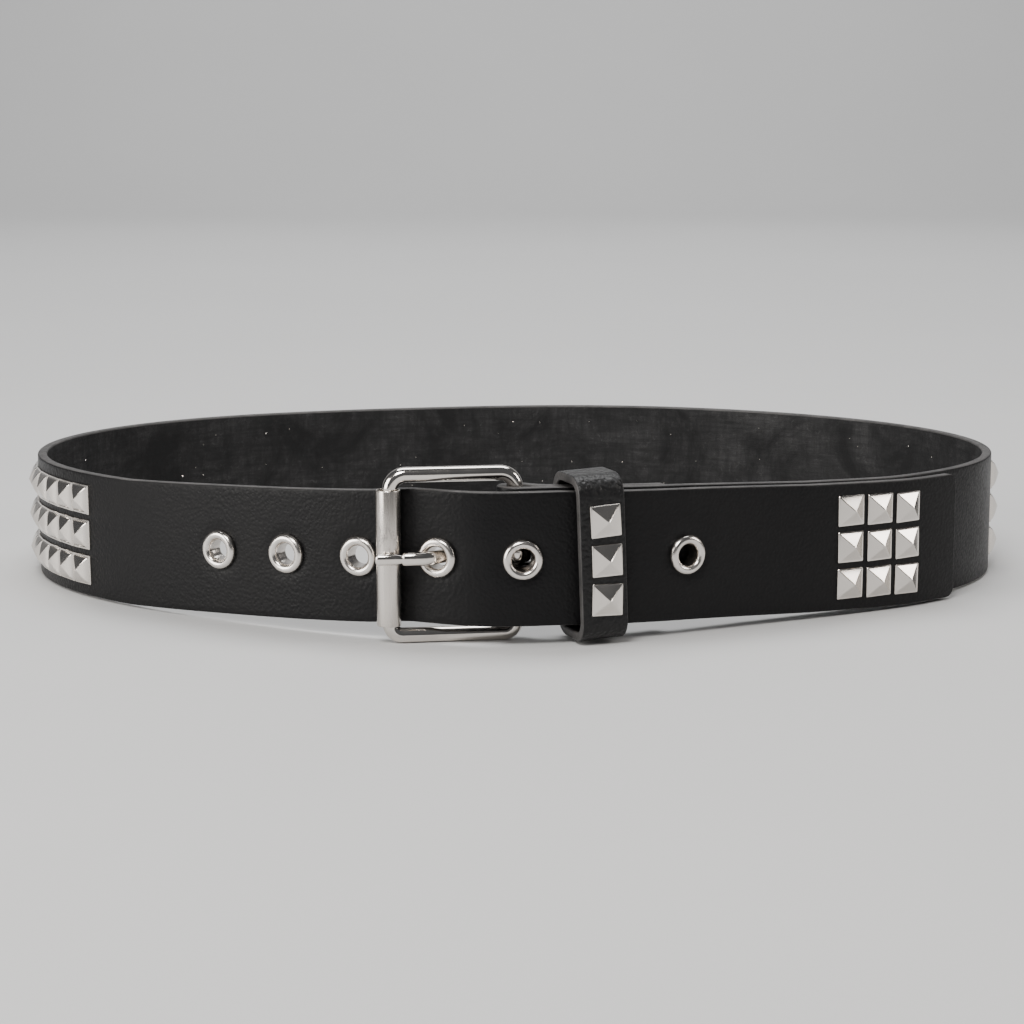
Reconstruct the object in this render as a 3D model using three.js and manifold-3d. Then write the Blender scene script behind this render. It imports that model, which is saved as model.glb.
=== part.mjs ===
import * as THREE from 'three';
import { mergeVertices } from 'three/addons/utils/BufferGeometryUtils.js';
import Module from 'manifold-3d';

// Studded strap belt, fastened in a loop and standing on its lower edge.
// Millimetres, +Z up, the buckle faces -Y and the belt's tail points towards +X.
// "Along" is a length along the loop's outline: zero at the front, positive towards +X.

// Loop and leather
const LOOP_GIRTH = 850;
const STRAP_WIDTH = 38.1;
const STRAP_THICKNESS = 3;
const EDGE_CHAMFER = 0.5;
const TAIL_GAP = 2.2;
const TIP_STAND = 0.8;
const TIP_STAND_RUN = 45;
const TAIL_CORNER_RADIUS = 3.2;

// Clearances
const FIT_GAP = 0.3;
const SEAT_GAP = 0.35;
const FLAP_SEAM = 0.3;

// Buckle
const WIRE_DIAMETER = 4.4;
const FRAME_HEADROOM = 1.65;
const FRAME_RUN = 35.6;
const FRAME_TOP_BEND = 4.5;
const FRAME_FOOT_BEND = 3.4;
const HEEL_AT = 0.8;
const ROLLER_DIAMETER = 6.9;
const ROLLER_WALL = 0.4;
const ROLLER_FOOT_GAP = 0.75;
const ROLLER_TOP_GAP = 1.95;
const ROLLER_HANG = 0.4;
const ROLLER_EDGE = 0.2;
const PRONG_THICKNESS = 3;
const PRONG_HEIGHT = 3.9;
const PRONG_TIP_THICKNESS = 2.2;
const PRONG_TIP_HEIGHT = 3.2;
const PRONG_TIP_REACH = 4.2;
const PRONG_FLAT_RUN = 7;
const PRONG_LEAN = THREE.MathUtils.degToRad(22);
const PRONG_BEND = 5;
const KNUCKLE_WALL = 1.8;
const KNUCKLE_HEIGHT = 4.2;
const SLOT_CLEARANCE = 0.9;

// Folded-back buckle end and its two rivets, one above the other
const FLAP_LENGTH = 46.2;
const FLAP_CLOSE_RUN = 10.5;
const RIVET_HEAD_DIAMETER = 6;
const RIVET_HEAD_THICKNESS = 0.8;
const RIVET_SHANK_DIAMETER = 3;
const RIVET_RUN = 35.7;
const RIVET_SPACING = 19;

// Eyelets
const EYELET_DIAMETER = 11.6;
const EYELET_BORE = 6.4;
const EYELET_WALL = 0.55;
const EYELET_CROWN = 1.2;
const EYELET_BACK_DIAMETER = 10.4;
const EYELET_BACK_THICKNESS = 0.6;
const EYELET_BACK_SEAT = 0.5;
const EYELET_PITCH = 23.75;
const PRONG_EYELET_FROM_ROLLER = 13.3;

// Keeper loop
const KEEPER_RUN = 21.1;
const KEEPER_WIDTH = 13.7;
const KEEPER_THICKNESS = 2.6;
const KEEPER_HEADROOM = 1.75;
const KEEPER_BEND = 6;
const KEEPER_TURN = THREE.MathUtils.degToRad(2);
const KEEPER_LEAN = THREE.MathUtils.degToRad(2.3);
const KEEPER_SAG = 0.45;
const KEEPER_STUD_DROP = 0.2;
const KEEPER_STUD_SHIFT = 0.9;

// Pyramid studs
const STUD_BASE = 9.1;
const STUD_HEIGHT = 2.9;
const STUD_RIM = 0.6;
const STUD_ROWS = 3;
const STUD_ROW_PITCH = 10.95;
const KEEPER_STUD_PITCH = 11.2;
const TIP_COLUMNS = 3;
const TIP_COLUMN_PITCH = 10.45;
const TIP_MARGIN = 21;
const TIP_RUN = 98.5;
const FIELD_PITCH = 9.42;
const FIELD_FROM_EYELET = 54.9;
const FIELD_FROM_TAIL = 45.7;

// Fineness of the faceted surfaces
const STRAP_STEP = 6.5;
const TAIL_STEP = 4.5;
const ROUND_SIDES = 18;
const WIRE_SIDES = 10;
const BEND_STEPS = 4;
const FOLD_STEPS = 8;
const OUTLINE_STEPS = 2880;
const PROBE = 0.5;

// The loop seen from above is a circle bent by a few waves, given as shares of its mean radius
const LOOP_WAVES = [
  { waves: 2, even: -0.143, odd: -0.025 },
  { waves: 3, even: 0.0265, odd: 0 },
  { waves: 4, even: 0.0345, odd: -0.0095 },
  { waves: 5, even: 0.0065, odd: 0.0015 },
];

// The buckle stands on its lower wire and holds up the front of the loop: places as shares of the
// girth, lifts as shares of the strap's lift in the buckle
const LIFT_PROFILE = [
  { place: -0.4, lift: 0 },
  { place: -0.25, lift: 0.04 },
  { place: -0.152, lift: 0.13 },
  { place: -0.116, lift: 0.365 },
  { place: -0.076, lift: 0.605 },
  { place: -0.05, lift: 0.78 },
  { place: -0.035, lift: 0.96 },
  { place: 0.014, lift: 0.96 },
  { place: 0.064, lift: 0.68 },
  { place: 0.109, lift: 0.355 },
  { place: 0.15, lift: 0.16 },
  { place: 0.25, lift: 0.06 },
  { place: 0.4, lift: 0 },
];
const MAIN_LAYER_LIFT = 1.075;

// Eyelets in whole pitches from the prong's, and how far each strays from them in shares of a pitch
const EYELETS = [
  { steps: -3, stray: 0 },
  { steps: -2, stray: 0 },
  { steps: -1, stray: 0 },
  { steps: 0, stray: 0 },
  { steps: 1, stray: -0.02 },
  { steps: 2, stray: -0.06 },
  { steps: 3, stray: 0 },
];

const leatherMaterial = new THREE.MeshStandardMaterial({ color: 0x131315, roughness: 0.55, metalness: 0 });
const nickelMaterial = new THREE.MeshStandardMaterial({ color: 0xc9c5bf, roughness: 0.22, metalness: 1 });
const rollerMaterial = new THREE.MeshStandardMaterial({ color: 0xb4b0aa, roughness: 0.35, metalness: 1 });

const manifold = await Module();
manifold.setup();

// Values that follow from the sizes above
const barRadius = WIRE_DIAMETER / 2;
const rollerRadius = ROLLER_DIAMETER / 2;
const foldRadius = barRadius + FIT_GAP + STRAP_THICKNESS;
const frameHeight = STRAP_WIDTH + 2 * (FRAME_HEADROOM + WIRE_DIAMETER);
const buckleLift = WIRE_DIAMETER + FRAME_HEADROOM;
const rollerFoot = WIRE_DIAMETER + ROLLER_FOOT_GAP;
const rollerLength = frameHeight - rollerFoot - WIRE_DIAMETER - ROLLER_TOP_GAP;
const tailOffset = TAIL_GAP + STRAP_THICKNESS;
const flapDepth = 2 * STRAP_THICKNESS + FLAP_SEAM;
const rollerAt = HEEL_AT - FRAME_RUN;
const rampEndAt = HEEL_AT - foldRadius;
const prongEyeletAt = rollerAt + PRONG_EYELET_FROM_ROLLER;
const keeperAt = HEEL_AT + KEEPER_RUN;
const eyeletPlaces = EYELETS.map(({ steps, stray }) => prongEyeletAt + (steps + stray) * EYELET_PITCH);
const tailEndAt = eyeletPlaces[eyeletPlaces.length - 1] + TIP_RUN;
const fieldFrontAt = eyeletPlaces[0] - FIELD_FROM_EYELET;
const fieldSpace = LOOP_GIRTH + fieldFrontAt - (tailEndAt + FIELD_FROM_TAIL);
const fieldColumns = Math.floor(fieldSpace / FIELD_PITCH);
const up = new THREE.Vector3(0, 0, 1);

const belt = new THREE.Group();

// Outline of the loop, measured along its length
const outline = measureOutline();

function waveShape(turn) {
  let radius = 1;
  for (const wave of LOOP_WAVES) {
    radius += wave.even * Math.cos(wave.waves * turn) + wave.odd * Math.sin(wave.waves * turn);
  }
  return new THREE.Vector2(radius * Math.sin(turn), -radius * Math.cos(turn));
}

function measureOutline() {
  const points = [];
  const lengths = [0];
  for (let step = 0; step <= OUTLINE_STEPS; step += 1) {
    points.push(waveShape((step / OUTLINE_STEPS) * 2 * Math.PI));
    if (step > 0) lengths.push(lengths[step - 1] + points[step].distanceTo(points[step - 1]));
  }
  const scale = LOOP_GIRTH / lengths[OUTLINE_STEPS];
  return { points: points.map((p) => p.multiplyScalar(scale)), lengths: lengths.map((l) => l * scale) };
}

function outlinePoint(along) {
  const length = THREE.MathUtils.euclideanModulo(along, LOOP_GIRTH);
  let low = 0;
  let high = OUTLINE_STEPS;
  while (high - low > 1) {
    const middle = (low + high) >> 1;
    if (outline.lengths[middle] <= length) low = middle;
    else high = middle;
  }
  const share = (length - outline.lengths[low]) / (outline.lengths[high] - outline.lengths[low]);
  return outline.points[low].clone().lerp(outline.points[high], share);
}

// A unit vector along a plan curve at a value of its parameter
function tangentOf(curve, at) {
  return curve(at + PROBE).sub(curve(at - PROBE)).normalize();
}

function rightOf(direction) {
  return new THREE.Vector2(direction.y, -direction.x);
}

function leftOf(direction) {
  return new THREE.Vector2(-direction.y, direction.x);
}

// A plan point beside the loop's outline, positive outwards
function beside(along, outwards) {
  const outDirection = rightOf(tangentOf(outlinePoint, along));
  return outlinePoint(along).addScaledVector(outDirection, outwards);
}

// How far the tail's outer face stands outside the loop's outline
function tailStand(along) {
  const ramp = tailOffset * THREE.MathUtils.smoothstep(along, rollerAt, rampEndAt);
  return ramp + TIP_STAND * THREE.MathUtils.smoothstep(along, tailEndAt - TIP_STAND_RUN, tailEndAt);
}

function tailFace(along) {
  return beside(along, tailStand(along));
}

function liftAt(along) {
  const half = LOOP_GIRTH / 2;
  const place = (THREE.MathUtils.euclideanModulo(along + half, LOOP_GIRTH) - half) / LOOP_GIRTH;
  for (let row = 1; row < LIFT_PROFILE.length; row += 1) {
    const before = LIFT_PROFILE[row - 1];
    const after = LIFT_PROFILE[row];
    if (place >= before.place && place <= after.place) {
      const share = (place - before.place) / (after.place - before.place);
      return buckleLift * THREE.MathUtils.lerp(before.lift, after.lift, share);
    }
  }
  return 0;
}

// Closed surface through rings of points; open runs get a flat cap at each end
function skin(rings, closed) {
  const count = rings[0].length;
  const positions = rings.flatMap((ring) => ring.flatMap((p) => [p.x, p.y, p.z]));
  const faces = [];
  const runs = closed ? rings.length : rings.length - 1;
  for (let run = 0; run < runs; run += 1) {
    const here = run * count;
    const next = ((run + 1) % rings.length) * count;
    for (let side = 0; side < count; side += 1) {
      const beyond = (side + 1) % count;
      faces.push(here + side, next + side, next + beyond);
      faces.push(here + side, next + beyond, here + beyond);
    }
  }
  if (!closed) {
    const last = (rings.length - 1) * count;
    for (let side = 1; side < count - 1; side += 1) {
      faces.push(0, side, side + 1);
      faces.push(last, last + side + 1, last + side);
    }
  }
  return facingOut(positions, faces);
}

// Turns every face over if the closed surface encloses a negative volume
function facingOut(positions, faces) {
  const a = new THREE.Vector3();
  const b = new THREE.Vector3();
  const c = new THREE.Vector3();
  let volume = 0;
  for (let i = 0; i < faces.length; i += 3) {
    a.fromArray(positions, 3 * faces[i]);
    b.fromArray(positions, 3 * faces[i + 1]);
    c.fromArray(positions, 3 * faces[i + 2]);
    volume += a.dot(b.cross(c));
  }
  const geometry = new THREE.BufferGeometry();
  geometry.setAttribute('position', new THREE.Float32BufferAttribute(positions, 3));
  geometry.setIndex(volume < 0 ? faces.reverse() : faces);
  return geometry;
}

// Booleans
function toSolid(geometry) {
  const bare = geometry.clone();
  bare.deleteAttribute('normal');
  bare.deleteAttribute('uv');
  const merged = mergeVertices(bare, 1e-4);
  const vertProperties = new Float32Array(merged.attributes.position.array);
  const triVerts = new Uint32Array(merged.index.array);
  return new manifold.Manifold(new manifold.Mesh({ numProp: 3, vertProperties, triVerts }));
}

function toGeometry(solid) {
  const mesh = solid.getMesh();
  const geometry = new THREE.BufferGeometry();
  geometry.setAttribute('position', new THREE.Float32BufferAttribute(mesh.vertProperties, 3));
  geometry.setIndex(Array.from(mesh.triVerts));
  return geometry;
}

// Placement of a fitting whose own Y axis points away from the leather
function placement(point, outDirection, height) {
  const outwards = new THREE.Vector3(outDirection.x, outDirection.y, 0);
  const alongside = new THREE.Vector3().crossVectors(up, outwards);
  const matrix = new THREE.Matrix4().makeBasis(alongside, outwards, up.clone().negate());
  return matrix.setPosition(point.x, point.y, height);
}

function addPiece(name, geometry, material, matrix) {
  const piece = new THREE.Mesh(geometry, material);
  piece.name = name;
  if (matrix) piece.applyMatrix4(matrix);
  belt.add(piece);
}

// Place on the strap's outer face, on the tail or the single layer, at mid width
function onTail(along, outwards = 0) {
  const outDirection = rightOf(tangentOf(tailFace, along));
  const point = tailFace(along).addScaledVector(outDirection, outwards);
  return placement(point, outDirection, liftAt(along) + STRAP_WIDTH / 2);
}

// Place on the main layer's outer face behind the tail, at a height above mid width
function onMainLayer(along, rise) {
  const outDirection = rightOf(tangentOf(outlinePoint, along));
  const height = MAIN_LAYER_LIFT * liftAt(along) + STRAP_WIDTH / 2 + rise;
  return placement(outlinePoint(along), outDirection, height);
}

// Strap: flap, fold round the heel bar, loop, and tail, in one run of sections
const heelOut = rightOf(tangentOf(outlinePoint, HEEL_AT));
const heelRight = tangentOf(outlinePoint, HEEL_AT);
const heelBar = beside(HEEL_AT, -foldRadius);

function flapFace(travel) {
  const along = HEEL_AT + FLAP_LENGTH - travel;
  const closing = THREE.MathUtils.smoothstep(along, HEEL_AT + barRadius / 2, HEEL_AT + FLAP_CLOSE_RUN);
  return beside(along, -THREE.MathUtils.lerp(2 * foldRadius, flapDepth, closing));
}

function foldFace(turn) {
  const inwards = -foldRadius * Math.cos(turn);
  const leftwards = -foldRadius * Math.sin(turn);
  return heelBar.clone().addScaledVector(heelOut, inwards).addScaledVector(heelRight, leftwards);
}

function wornFace(along) {
  return beside(along, tailStand(along - LOOP_GIRTH));
}

function strapSection(face, inwards, lift, height) {
  const foot = lift + (STRAP_WIDTH - height) / 2;
  const corners = [
    [0, EDGE_CHAMFER],
    [0, height - EDGE_CHAMFER],
    [EDGE_CHAMFER, height],
    [STRAP_THICKNESS - EDGE_CHAMFER, height],
    [STRAP_THICKNESS, height - EDGE_CHAMFER],
    [STRAP_THICKNESS, EDGE_CHAMFER],
    [STRAP_THICKNESS - EDGE_CHAMFER, 0],
    [EDGE_CHAMFER, 0],
  ];
  return corners.map(([depth, rise]) => {
    const point = face.clone().addScaledVector(inwards, depth);
    return new THREE.Vector3(point.x, point.y, foot + rise);
  });
}

function spread(from, to, step) {
  const count = Math.max(1, Math.round(Math.abs(to - from) / step));
  return Array.from({ length: count + 1 }, (_, i) => THREE.MathUtils.lerp(from, to, i / count));
}

function heightNearEnd(distance) {
  if (distance >= TAIL_CORNER_RADIUS) return STRAP_WIDTH;
  const reach = TAIL_CORNER_RADIUS - distance;
  return STRAP_WIDTH - 2 * (TAIL_CORNER_RADIUS - Math.sqrt(TAIL_CORNER_RADIUS ** 2 - reach ** 2));
}

function strapGeometry() {
  const rings = [];
  const heelLift = MAIN_LAYER_LIFT * liftAt(HEEL_AT);
  const closeTravel = FLAP_LENGTH - FLAP_CLOSE_RUN;
  const flapTravels = [
    ...spread(0, closeTravel, STRAP_STEP),
    ...spread(closeTravel, FLAP_LENGTH, FLAP_CLOSE_RUN / BEND_STEPS).slice(1, -1),
  ];
  for (const travel of flapTravels) {
    const inwards = leftOf(tangentOf(flapFace, travel));
    const lift = MAIN_LAYER_LIFT * liftAt(HEEL_AT + FLAP_LENGTH - travel);
    rings.push(strapSection(flapFace(travel), inwards, lift, STRAP_WIDTH));
  }
  for (let step = 0; step <= FOLD_STEPS; step += 1) {
    const face = foldFace((step / FOLD_STEPS) * Math.PI);
    const inwards = heelBar.clone().sub(face).normalize();
    rings.push(strapSection(face, inwards, heelLift, STRAP_WIDTH));
  }
  const rampStart = LOOP_GIRTH + rollerAt;
  const tailEnd = LOOP_GIRTH + tailEndAt;
  const places = [
    ...spread(HEEL_AT, rampStart, STRAP_STEP).slice(1),
    ...spread(rampStart, tailEnd - TAIL_CORNER_RADIUS, TAIL_STEP).slice(1),
  ];
  for (let step = 1; step <= BEND_STEPS; step += 1) {
    const turn = (step / BEND_STEPS) * (Math.PI / 2);
    places.push(tailEnd - TAIL_CORNER_RADIUS * (1 - Math.sin(turn)));
  }
  for (const along of places) {
    const inwards = leftOf(tangentOf(wornFace, along));
    const layer = along < LOOP_GIRTH / 2 ? MAIN_LAYER_LIFT : 1;
    const height = heightNearEnd(tailEnd - along);
    rings.push(strapSection(wornFace(along), inwards, layer * liftAt(along), height));
  }
  return skin(rings, false);
}

const rivetPlaces = [
  onMainLayer(HEEL_AT + RIVET_RUN, RIVET_SPACING / 2),
  onMainLayer(HEEL_AT + RIVET_RUN, -RIVET_SPACING / 2),
];
const eyeletHole = EYELET_BORE / 2 + EYELET_WALL + FIT_GAP;
const knuckleRadius = barRadius + FIT_GAP + KNUCKLE_WALL;

function addStrap() {
  let solid = toSolid(strapGeometry());
  for (const along of eyeletPlaces) {
    const reach = STRAP_THICKNESS + TAIL_GAP;
    const cutter = new THREE.CylinderGeometry(eyeletHole, eyeletHole, reach, ROUND_SIDES);
    solid = solid.subtract(toSolid(cutter.applyMatrix4(onTail(along, -STRAP_THICKNESS / 2))));
  }
  for (const place of rivetPlaces) {
    const reach = flapDepth + 2 * SEAT_GAP;
    const radius = RIVET_SHANK_DIAMETER / 2 + FIT_GAP;
    const cutter = new THREE.CylinderGeometry(radius, radius, reach, ROUND_SIDES);
    cutter.translate(0, -flapDepth / 2, 0);
    solid = solid.subtract(toSolid(cutter.applyMatrix4(place)));
  }
  const slotReach = knuckleRadius + SLOT_CLEARANCE;
  const slotLength = slotReach + foldRadius + SLOT_CLEARANCE;
  const slotDepth = 2 * foldRadius + TAIL_GAP;
  const slot = new THREE.BoxGeometry(slotLength, slotDepth, KNUCKLE_HEIGHT + 2 * SLOT_CLEARANCE);
  slot.translate(slotReach - slotLength / 2, 0, 0);
  const slotPlace = placement(heelBar, heelOut, prongLevel());
  solid = solid.subtract(toSolid(slot.applyMatrix4(slotPlace)));
  addPiece('strap', toGeometry(solid), leatherMaterial);
}

// Eyelets: a rounded crown in front, a barrel through the leather and a flat flange behind
function eyeletGeometry() {
  const bore = EYELET_BORE / 2;
  const rim = EYELET_DIAMETER / 2;
  const middle = (bore + rim) / 2;
  const profile = [];
  for (let step = 0; step <= BEND_STEPS; step += 1) {
    const turn = Math.PI * (1 - step / BEND_STEPS);
    const radius = middle + ((rim - bore) / 2) * Math.cos(turn);
    profile.push(new THREE.Vector2(radius, SEAT_GAP + EYELET_CROWN * Math.sin(turn)));
  }
  const barrel = bore + EYELET_WALL;
  const backFace = -STRAP_THICKNESS - EYELET_BACK_SEAT;
  const backEnd = backFace - EYELET_BACK_THICKNESS;
  profile.push(new THREE.Vector2(barrel, SEAT_GAP));
  profile.push(new THREE.Vector2(barrel, backFace));
  profile.push(new THREE.Vector2(EYELET_BACK_DIAMETER / 2, backFace));
  profile.push(new THREE.Vector2(EYELET_BACK_DIAMETER / 2, backEnd));
  profile.push(new THREE.Vector2(bore, backEnd));
  profile.push(profile[0].clone());
  return turned(profile);
}

// A profile of radius and height turned round the Y axis, without seam or doubled points
function turned(profile) {
  const lathe = new THREE.LatheGeometry(profile, ROUND_SIDES);
  lathe.deleteAttribute('normal');
  lathe.deleteAttribute('uv');
  const merged = mergeVertices(lathe, 1e-4);
  const index = Array.from(merged.index.array);
  const faces = [];
  for (let i = 0; i < index.length; i += 3) {
    const [a, b, c] = index.slice(i, i + 3);
    if (a !== b && b !== c && c !== a) faces.push(a, b, c);
  }
  return facingOut(Array.from(merged.attributes.position.array), faces);
}

function addEyelets() {
  eyeletPlaces.forEach((along, number) => {
    addPiece(`eyelet_${number + 1}`, eyeletGeometry(), nickelMaterial, onTail(along));
  });
}

// Rivets through the main layer and the flap
function rivetGeometry() {
  const head = RIVET_HEAD_DIAMETER / 2;
  const shank = RIVET_SHANK_DIAMETER / 2;
  const front = SEAT_GAP;
  const back = -flapDepth - EYELET_BACK_SEAT;
  const profile = [
    new THREE.Vector2(0, front + RIVET_HEAD_THICKNESS),
    new THREE.Vector2(head - EDGE_CHAMFER, front + RIVET_HEAD_THICKNESS),
    new THREE.Vector2(head, front),
    new THREE.Vector2(shank, front),
    new THREE.Vector2(shank, back),
    new THREE.Vector2(head, back),
    new THREE.Vector2(head - EDGE_CHAMFER, back - RIVET_HEAD_THICKNESS),
    new THREE.Vector2(0, back - RIVET_HEAD_THICKNESS),
  ];
  return turned(profile);
}

function addRivets() {
  const [upper, lower] = rivetPlaces;
  addPiece('rivet_upper', rivetGeometry(), nickelMaterial, upper);
  addPiece('rivet_lower', rivetGeometry(), nickelMaterial, lower);
}

// Buckle: the plan line from the roller bar to the heel bar carries all of it
const rollerCentre = beside(rollerAt, FIT_GAP + rollerRadius);
const frameRight = heelBar.clone().sub(rollerCentre).normalize();
const frameOut = rightOf(frameRight);
const rollerBar = rollerCentre.clone().addScaledVector(frameRight, ROLLER_HANG);

function prongLevel() {
  return liftAt(prongEyeletAt) + STRAP_WIDTH / 2;
}

function ellipseRing(centre, sideways, upwards, halfWidth, halfHeight, sides) {
  return Array.from({ length: sides }, (_, i) => {
    const turn = ((i + 0.5) / sides) * 2 * Math.PI;
    const point = centre.clone().addScaledVector(sideways, halfWidth * Math.cos(turn));
    return point.addScaledVector(upwards, halfHeight * Math.sin(turn));
  });
}

// Points of a rectangle with rounded corners: centre of each corner, its radius, and its first turn
function roundedLoop(corners) {
  const points = [];
  for (const corner of corners) {
    for (let step = 0; step <= BEND_STEPS; step += 1) {
      const turn = corner.turn + (step / BEND_STEPS) * (Math.PI / 2);
      const direction = new THREE.Vector2(Math.cos(turn), Math.sin(turn));
      points.push({ centre: new THREE.Vector2(corner.x, corner.y), radius: corner.radius, direction });
    }
  }
  return points;
}

function addFrame() {
  const span = rollerBar.distanceTo(heelBar);
  const top = frameHeight - barRadius;
  const foot = barRadius;
  const quarter = Math.PI / 2;
  const loop = roundedLoop([
    { x: span - FRAME_TOP_BEND, y: top - FRAME_TOP_BEND, radius: FRAME_TOP_BEND, turn: 0 },
    { x: FRAME_TOP_BEND, y: top - FRAME_TOP_BEND, radius: FRAME_TOP_BEND, turn: quarter },
    { x: FRAME_FOOT_BEND, y: foot + FRAME_FOOT_BEND, radius: FRAME_FOOT_BEND, turn: 2 * quarter },
    { x: span - FRAME_FOOT_BEND, y: foot + FRAME_FOOT_BEND, radius: FRAME_FOOT_BEND, turn: 3 * quarter },
  ]);
  const right = new THREE.Vector3(frameRight.x, frameRight.y, 0);
  const out = new THREE.Vector3(frameOut.x, frameOut.y, 0);
  const rings = loop.map(({ centre, radius, direction }) => {
    const place = centre.clone().addScaledVector(direction, radius);
    const wire = new THREE.Vector3(rollerBar.x, rollerBar.y, place.y).addScaledVector(right, place.x);
    const outwards = right.clone().multiplyScalar(direction.x).addScaledVector(up, direction.y);
    return ellipseRing(wire, out, outwards, barRadius, barRadius, WIRE_SIDES);
  });
  addPiece('buckle_frame', skin(rings, true), nickelMaterial);
}

function addRoller() {
  const bore = rollerRadius - ROLLER_WALL;
  const half = rollerLength / 2;
  const profile = [
    new THREE.Vector2(bore, -half),
    new THREE.Vector2(rollerRadius - ROLLER_EDGE, -half),
    new THREE.Vector2(rollerRadius, -half + ROLLER_EDGE),
    new THREE.Vector2(rollerRadius, half - ROLLER_EDGE),
    new THREE.Vector2(rollerRadius - ROLLER_EDGE, half),
    new THREE.Vector2(bore, half),
    new THREE.Vector2(bore, -half),
  ];
  const upright = new THREE.Matrix4().makeRotationX(Math.PI / 2);
  upright.setPosition(rollerCentre.x, rollerCentre.y, rollerFoot + half);
  addPiece('buckle_roller', turned(profile), rollerMaterial, upright);
}

// Where the line through start along direction reaches a given distance out from a point of the frame
function meetLine(start, direction, point, outwards) {
  const gap = outwards - start.clone().sub(point).dot(frameOut);
  return start.clone().addScaledVector(direction, gap / direction.dot(frameOut));
}

// A plan path through straight legs with rounded corners
function roundedPath(corners, radius) {
  const points = [corners[0].clone()];
  for (let i = 1; i < corners.length - 1; i += 1) {
    const arriving = corners[i].clone().sub(corners[i - 1]).normalize();
    const leaving = corners[i + 1].clone().sub(corners[i]).normalize();
    const turn = Math.acos(THREE.MathUtils.clamp(arriving.dot(leaving), -1, 1));
    const trim = radius * Math.tan(turn / 2);
    const start = corners[i].clone().addScaledVector(arriving, -trim);
    const end = corners[i].clone().addScaledVector(leaving, trim);
    const bend = new THREE.QuadraticBezierCurve(start, corners[i], end);
    points.push(...bend.getPoints(BEND_STEPS));
  }
  points.push(corners[corners.length - 1].clone());
  return points;
}

function addProng() {
  const eyeletOut = rightOf(tangentOf(tailFace, prongEyeletAt));
  const eyeletMiddle = tailFace(prongEyeletAt).addScaledVector(eyeletOut, -STRAP_THICKNESS / 2);
  const through = eyeletOut.clone().rotateAround(new THREE.Vector2(), -PRONG_LEAN);
  const tipOut = rollerRadius + FIT_GAP + PRONG_TIP_THICKNESS / 2;
  const tip = rollerCentre.clone().addScaledVector(frameOut, tipOut);
  const flatEnd = tip.clone().addScaledVector(frameRight, PRONG_FLAT_RUN / 2);
  tip.addScaledVector(frameRight, -PRONG_TIP_REACH);
  const knuckleJoin = heelBar.clone().addScaledVector(frameRight, FIT_GAP - knuckleRadius + KNUCKLE_WALL / 2);
  const legs = [
    tip,
    meetLine(eyeletMiddle, through, rollerCentre, tipOut),
    meetLine(eyeletMiddle, through, heelBar, 0),
    knuckleJoin,
  ];
  const path = roundedPath(legs, PRONG_BEND);
  path.splice(1, 0, flatEnd, flatEnd.clone().addScaledVector(frameRight, EDGE_CHAMFER));
  const rings = path.map((point, i) => {
    const before = path[Math.max(0, i - 1)];
    const after = path[Math.min(path.length - 1, i + 1)];
    const side = rightOf(after.clone().sub(before).normalize());
    const centre = new THREE.Vector3(point.x, point.y, prongLevel());
    const flat = i < 2;
    const thickness = flat ? PRONG_TIP_THICKNESS : PRONG_THICKNESS;
    const height = flat ? PRONG_TIP_HEIGHT : PRONG_HEIGHT;
    const sideways = new THREE.Vector3(side.x, side.y, 0);
    return ellipseRing(centre, sideways, up, thickness / 2, height / 2, WIRE_SIDES);
  });
  const bore = barRadius + FIT_GAP;
  const half = KNUCKLE_HEIGHT / 2;
  const knuckle = turned([
    new THREE.Vector2(bore, -half),
    new THREE.Vector2(knuckleRadius, -half),
    new THREE.Vector2(knuckleRadius, half),
    new THREE.Vector2(bore, half),
    new THREE.Vector2(bore, -half),
  ]);
  const upright = new THREE.Matrix4().makeRotationX(Math.PI / 2);
  knuckle.applyMatrix4(upright.setPosition(heelBar.x, heelBar.y, prongLevel()));
  const solid = toSolid(skin(rings, false)).add(toSolid(knuckle));
  addPiece('buckle_prong', toGeometry(solid), nickelMaterial);
}

// Keeper: a closed leather band round the tail, the main layer and the flap, held off the tail by
// the eyelet under it, and set a little askew
const keeperHeadroom = KEEPER_HEADROOM + (KEEPER_WIDTH / 2) * Math.tan(KEEPER_LEAN);
const keeperHeight = STRAP_WIDTH + 2 * (keeperHeadroom + KEEPER_THICKNESS);
const keeperSlack = 2 * FIT_GAP + (KEEPER_WIDTH / 2) * Math.tan(KEEPER_TURN);
const keeperFront = tailOffset + SEAT_GAP + EYELET_CROWN + keeperSlack + KEEPER_THICKNESS;
const keeperBack = -(flapDepth + KEEPER_SAG + keeperSlack + KEEPER_THICKNESS);

function keeperPlacement() {
  const outDirection = rightOf(tangentOf(outlinePoint, keeperAt));
  const turnedOut = outDirection.rotateAround(new THREE.Vector2(), KEEPER_TURN);
  const height = MAIN_LAYER_LIFT * liftAt(keeperAt) + STRAP_WIDTH / 2;
  const lean = new THREE.Matrix4().makeRotationY(KEEPER_LEAN);
  return placement(outlinePoint(keeperAt), turnedOut, height).multiply(lean);
}

function keeperSection(centre, radius, direction) {
  const half = KEEPER_WIDTH / 2;
  const corners = [
    [0, half - EDGE_CHAMFER],
    [EDGE_CHAMFER, half],
    [KEEPER_THICKNESS - EDGE_CHAMFER, half],
    [KEEPER_THICKNESS, half - EDGE_CHAMFER],
    [KEEPER_THICKNESS, EDGE_CHAMFER - half],
    [KEEPER_THICKNESS - EDGE_CHAMFER, -half],
    [EDGE_CHAMFER, -half],
    [0, EDGE_CHAMFER - half],
  ];
  return corners.map(([depth, across]) => {
    const point = centre.clone().addScaledVector(direction, radius - depth);
    return new THREE.Vector3(across, point.x, point.y);
  });
}

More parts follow.
